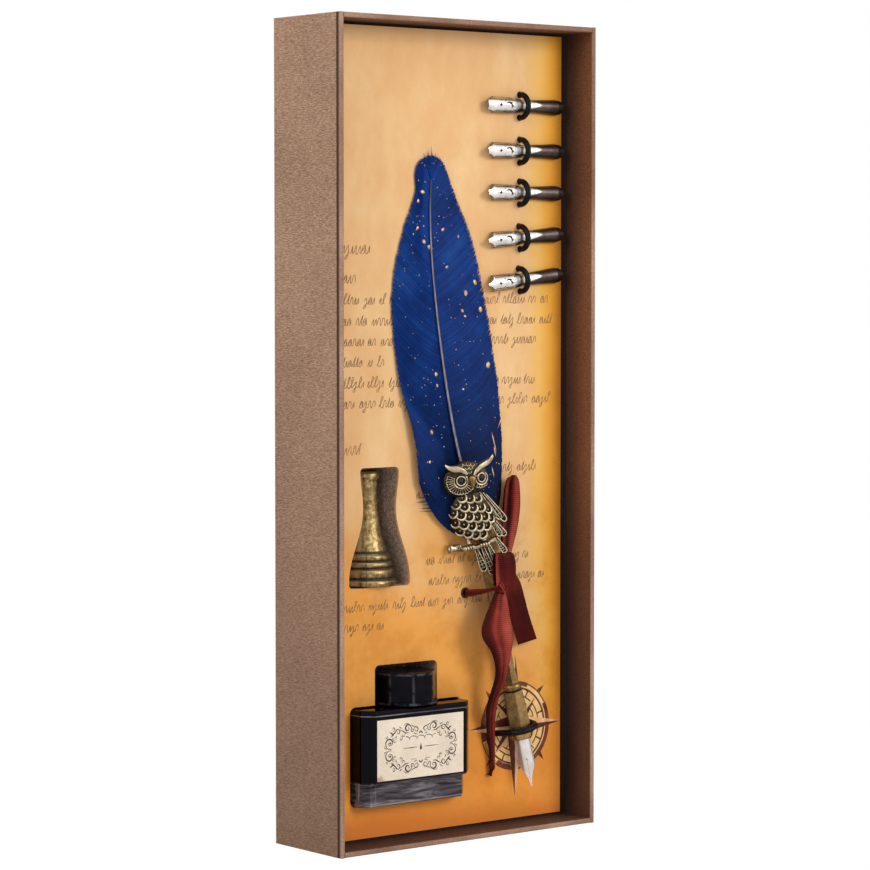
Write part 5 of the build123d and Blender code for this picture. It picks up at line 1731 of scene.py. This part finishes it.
# A quarter of the label's frame, in millimetres from its middle. Scrolls: centre across and up,
# radius, where it starts in degrees, turns and half width. Leaves: places of (across, up, half width).
label_scrolls = (
    (14.8, 2.5, 2.35, 250, 1.35, 0.13), (10.9, 6.4, 1.3, 20, 1.1, 0.10), (6.2, 7.4, 1.75, 200, -1.2, 0.16),
    (2.2, 6.6, 1.35, 340, 1.15, 0.10), (9.6, 3.9, 0.9, 90, 1.0, 0.08), (12.9, 4.1, 0.75, 200, 1.0, 0.07),
    (8.2, 5.0, 0.75, 60, -1.0, 0.07), (4.1, 6.7, 0.9, 160, 1.1, 0.08), (13.0, 7.7, 0.85, 300, -1.1, 0.08),
    (16.3, 4.9, 0.6, 120, 1.0, 0.07),
)
label_leaves = (
    ((14.0, 4.9, 0.15), (13.2, 5.7, 0.33), (12.4, 6.3, 0.24), (11.2, 7.4, 0.09)),
    ((12.9, 5.2, 0.09), (13.9, 6.2, 0.30), (14.8, 6.6, 0.08)),
    ((9.9, 7.2, 0.08), (8.4, 6.5, 0.21), (7.4, 5.8, 0.24), (5.6, 5.7, 0.08)),
    ((4.6, 8.6, 0.08), (3.6, 8.0, 0.18), (2.6, 7.9, 0.08)),
    ((0.0, 6.0, 0.15), (0.55, 5.5, 0.30), (0.9, 5.0, 0.08)),
    ((8.2, 8.6, 0.06), (7.0, 9.3, 0.15), (5.6, 9.2, 0.06)),
    ((10.4, 8.4, 0.06), (9.6, 7.9, 0.20), (8.9, 7.7, 0.06)),
    ((13.5, 3.2, 0.06), (12.5, 2.7, 0.20), (11.7, 2.9, 0.06)),
    ((3.3, 5.6, 0.06), (2.5, 5.0, 0.18), (1.7, 5.0, 0.06)),
    ((11.4, 5.2, 0.07), (11.9, 4.5, 0.22), (11.6, 3.8, 0.07)),
    ((16.0, 0.3, 0.06), (17.1, 0.8, 0.16), (17.4, 1.6, 0.06)),
)
# dots in the eyes of the side scrolls, then dashes below the middle, rules beside it and its drop of ink
label_dot = ((14.6, 2.08, 0.12), (14.6, 2.3, 0.42), (14.6, 2.7, 0.42), (14.6, 2.92, 0.12))
label_dash = ((2.2, -4.4, 0.09), (3.4, -4.4, 0.09), (4.6, -4.4, 0.09))
label_rule = ((1.6, 0, 0.08), (4.8, 0, 0.16), (8.6, 0, 0.06))
label_drop = ((0, 1.5, 0.04), (0, 0.6, 0.26), (0, -0.3, 0.5), (0, -0.9, 0.4), (0, -1.25, 0.08))


def spiral(across, up, radius, start, turns, width):
    """A scroll that winds in from its outer end."""
    steps = 16
    points = []
    for step in range(steps + 1):
        share = step / steps
        angle = math.radians(start + 360 * turns * share)
        reach = radius * (1 - 0.78 * share)
        swell = width * (0.9 + 1.3 * math.sin(math.pi * min(1.0, 1.25 * share)) ** 2)
        points.append((across + reach * math.cos(angle), up + reach * math.sin(angle), swell))
    return points


def flourish():
    """A row of loops above the label's middle."""
    loops, steps, length = 4, 60, 14.4
    points = []
    for step in range(steps + 1):
        turn = 2 * math.pi * loops * step / steps
        across = -0.5 * length + length * step / steps + 0.9 * math.sin(turn)
        points.append((across, 3.6 + 0.75 * math.cos(turn), 0.09 + 0.07 * math.sin(turn + 1)))
    return points


def label_print():
    """A frame of pen scrolls on the bare label, the same on both sides and above and below."""
    black = ink_finish("label_ink", (48, 38, 34), 0.35, (96, 80, 70), 0.62)
    low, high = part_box("bottle_label")
    middle = (low.x + high.x) / 2 / mm, (low.z + high.z) / 2 / mm
    depth = (low.y - front_rim) / mm - 0.02
    lines = []

    def draw(strokes, sides=(1,), levels=(1,)):
        for side in sides:
            for level in levels:
                for stroke in strokes:
                    lines.append([
                        (at(middle[0] + side * x, depth, middle[1] + level * z), width * mm, to_front)
                        for x, z, width in stroke
                    ])

    both = (-1, 1)
    draw([spiral(*scroll) for scroll in label_scrolls], both, both)
    draw(label_leaves + (label_dot,), both, both)
    draw((label_dash, label_rule), both)
    draw((flourish(), label_drop))
    return swept("label_scrolls", lines, black, sides=4, flatness=0.12)


# The spare nibs' points lie this far across and behind the front rim, and the top wall's inner face
# is this high. Their crowns are rounder than their necks. Each nib: how far it lies below the top
# wall, and its tilt in degrees.
nib_point_across, nib_axis_depth, under_top_wall = 16.7, 13.25, 308.0
crown_length, crown_radius, neck_radius = 13, 3.12, 2.86
spare_nib_places = ((28.5, -0.4), (46.0, 0.3), (62.0, 0.0), (80.6, 4.2), (97.4, 5.8))
# pressed marks: (distance from the point, aside, half width)
nib_side_marks = (
    ((7.5, 1.9, 0.14), (8.3, 1.4, 0.26), (9.1, 1.9, 0.14)),
    ((3.6, 2.3, 0.08), (6.0, 2.6, 0.16), (9.5, 2.6, 0.16), (12.6, 2.4, 0.10)),
)
nib_middle_marks = (
    ((8.6, 0.7, 0.14), (10.0, 1.1, 0.32), (11.2, 0.7, 0.52), (11.8, -0.3, 0.50), (11.3, -1.1, 0.16)),
    ((8.4, 0.7, 0.15), (7.9, 0.2, 0.15), (8.3, -0.5, 0.15), (8.9, -0.8, 0.1)),
    ((4.9, 0.0, 0.28), (5.8, 0.0, 0.66), (6.7, 0.0, 0.28)),
    ((12.4, 1.8, 0.08), (12.9, 0.6, 0.12), (12.9, -0.6, 0.12), (12.4, -1.8, 0.08)),
)


def nib_engraving(number):
    """The pressed marks on a spare nib's crown: a comma, two notches and a ring of fine lines."""
    dark = ink_finish("engraved_line", (20, 18, 20), 0.35, (52, 48, 50), 0.6)
    below_top, tilt = spare_nib_places[number - 1]
    tip = at(nib_point_across, nib_axis_depth, under_top_wall - below_top)
    along = Vector((math.cos(math.radians(tilt)), 0, math.sin(math.radians(tilt))))
    across = Vector((-along.z, 0, along.x))
    strokes = [(stroke, 1) for stroke in nib_middle_marks]
    strokes += [(stroke, side) for stroke in nib_side_marks for side in (1, -1)]
    lines = []
    for stroke, side in strokes:
        line = []
        for distance, aside, width in stroke:
            radius = crown_radius if distance < crown_length else neck_radius
            rise = math.sqrt(radius ** 2 - aside ** 2) + 0.01
            outward = Vector((0, -rise, 0)) + across * side * aside
            line.append((tip + mm * (along * distance + outward), width * mm, outward.normalized()))
        lines.append(line)
    return swept("nib_marks_%d" % number, lines, dark, sides=4, flatness=0.15)


# ------------------------------------------------------------------ camera and light
def camera():
    made = bpy.data.cameras.new("camera")
    made.lens = 130.4
    made.sensor_width = 36.0
    made.clip_start = 0.05
    made.clip_end = 20.0
    downwards, sideways = math.radians(2.95), math.radians(38.54)
    holder = new_object("camera", made)
    holder.location = (-0.7509, -0.9407, 0.2153)
    holder.rotation_euler = Euler((0.5 * math.pi - downwards, 0, -sideways))
    bpy.context.scene.camera = holder


def softbox(name, place, side, power):
    """A square light that is aimed at the middle of the box."""
    made = bpy.data.lights.new(name, "AREA")
    made.shape = "RECTANGLE"
    made.size = made.size_y = side
    made.energy = power
    holder = new_object(name, made)
    holder.location = place
    aim = Vector((0, 0, 0.16)) - Vector(place)
    holder.rotation_euler = aim.to_track_quat("-Z", "Y").to_euler()


def studio():
    """White where it is seen, mirrored or looked through, and softer for the light it gives."""
    world = bpy.data.worlds.new("studio")
    bpy.context.scene.world = world
    world.use_nodes = True
    tree = world.node_tree
    tree.nodes.clear()
    rays = add_node(tree, "ShaderNodeLightPath").outputs
    either = {"operation": "MAXIMUM"}
    indirect = {0: rays["Is Glossy Ray"], 1: rays["Is Transmission Ray"]}
    shiny = add_node(tree, "ShaderNodeMath", either, indirect)
    seen = add_node(tree, "ShaderNodeMath", either, {0: rays["Is Camera Ray"], 1: shiny.outputs[0]})
    white = {"Color": (1, 1, 1, 1)}
    bright = add_node(tree, "ShaderNodeBackground", {}, white)
    soft = add_node(tree, "ShaderNodeBackground", {}, {**white, "Strength": 0.45})
    shares = {0: seen.outputs[0], 1: soft.outputs[0], 2: bright.outputs[0]}
    mixed = add_node(tree, "ShaderNodeMixShader", {}, shares)
    add_node(tree, "ShaderNodeOutputWorld", {}, {0: mixed.outputs[0]})
    softbox("key", (0.75, -1.7, 0.9), 0.8, 17.0)
    softbox("left_fill", (-1.7, -0.4, 0.9), 0.9, 15.0)


def floor():
    """A pale floor that the camera sees as almost white, with the box's soft shadow on it."""
    mesh = bpy.data.meshes.new("floor")
    reach = 3.0
    corners = [(-reach, -reach, 0), (reach, -reach, 0), (reach, reach, 0), (-reach, reach, 0)]
    mesh.from_pydata(corners, [], [(0, 1, 2, 3)])
    made = new_object("floor", mesh)
    white = Finish("pale_floor", roughness=0.9, specular_ior_level=0.0)
    white.set("Base Color", (0.92, 0.92, 0.92, 1))
    glow = white.node("ShaderNodeEmission", {}, {"Color": (1, 1, 1, 1), "Strength": 1.10})
    glow_share = 0.85 * white.node("ShaderNodeLightPath", output="Is Camera Ray")
    both = white.node("ShaderNodeMixShader", {}, {0: glow_share, 1: white.shader.outputs[0], 2: glow})
    white.tree.links.new(both.socket, white.output.inputs[0])
    mesh.materials.append(white.material)


# ------------------------------------------------------------------ assembly
def dress(material, *names):
    """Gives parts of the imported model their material."""
    for name in names:
        slots = nodes[name].data.materials
        slots.clear()
        slots.append(material)


def add(piece, body, slot, *replaced):
    """Puts a piece on its body, in place of the parts that it stands for. The slot is not used."""
    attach(piece, body)
    if replaced:
        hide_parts(*replaced)


camera()
studio()
floor()
bpy.context.scene.view_settings.view_transform = "Standard"

dress(wrapped_board(), "back_board", "left_side_wall", "right_side_wall", "bottom_end_wall", "top_end_wall")
dress(tray_foam(), "base_foam_sheet", "middle_foam_layer", "upper_foam_layer")
dress(parchment(), "printed_card")
dress(ink_glass(), "bottle_glass")
dress(ink_black(), "ink")
dress(moulded_black(), "bottle_cap")
dress(liner(), "cap_liner")
dress(label_paper(), "bottle_label")
dress(antique_brass(), "pen_barrel", "pen_grip")
add(turned_stand(stand_brass()), "stand", "antique_brass", "pen_stand")
dress(golden_bronze(), "nib_collar")
dress(bright_steel(), "pen_nib", *["spare_nib_%d" % number for number in spare_numbers])
dress(elastic_cord(), "pen_elastic", *["spare_nib_elastic_%d" % number for number in spare_numbers])
dress(quill_horn(), "feather_shaft")

vane, specks = feather_vane()
add(vane, "pen", "feather", "feather_vane")
add(specks, "pen", "feather")

add(owl(), "pen", "antique_pewter", "owl_ornament")
tie = ribbon()
add(tie, "box", "satin_ribbon", "tie_ribbon")

for print_layer in compass_rose():
    add(print_layer, "box", "parchment_card")
add(practice_rows(), "box", "parchment_card")
add(cord_eyelets(), "box", "elastic_cord")
add(label_print(), "bottle", "paper_label")
for number in spare_numbers:
    add(nib_engraving(number), "spare_%d" % number, "nib_steel")
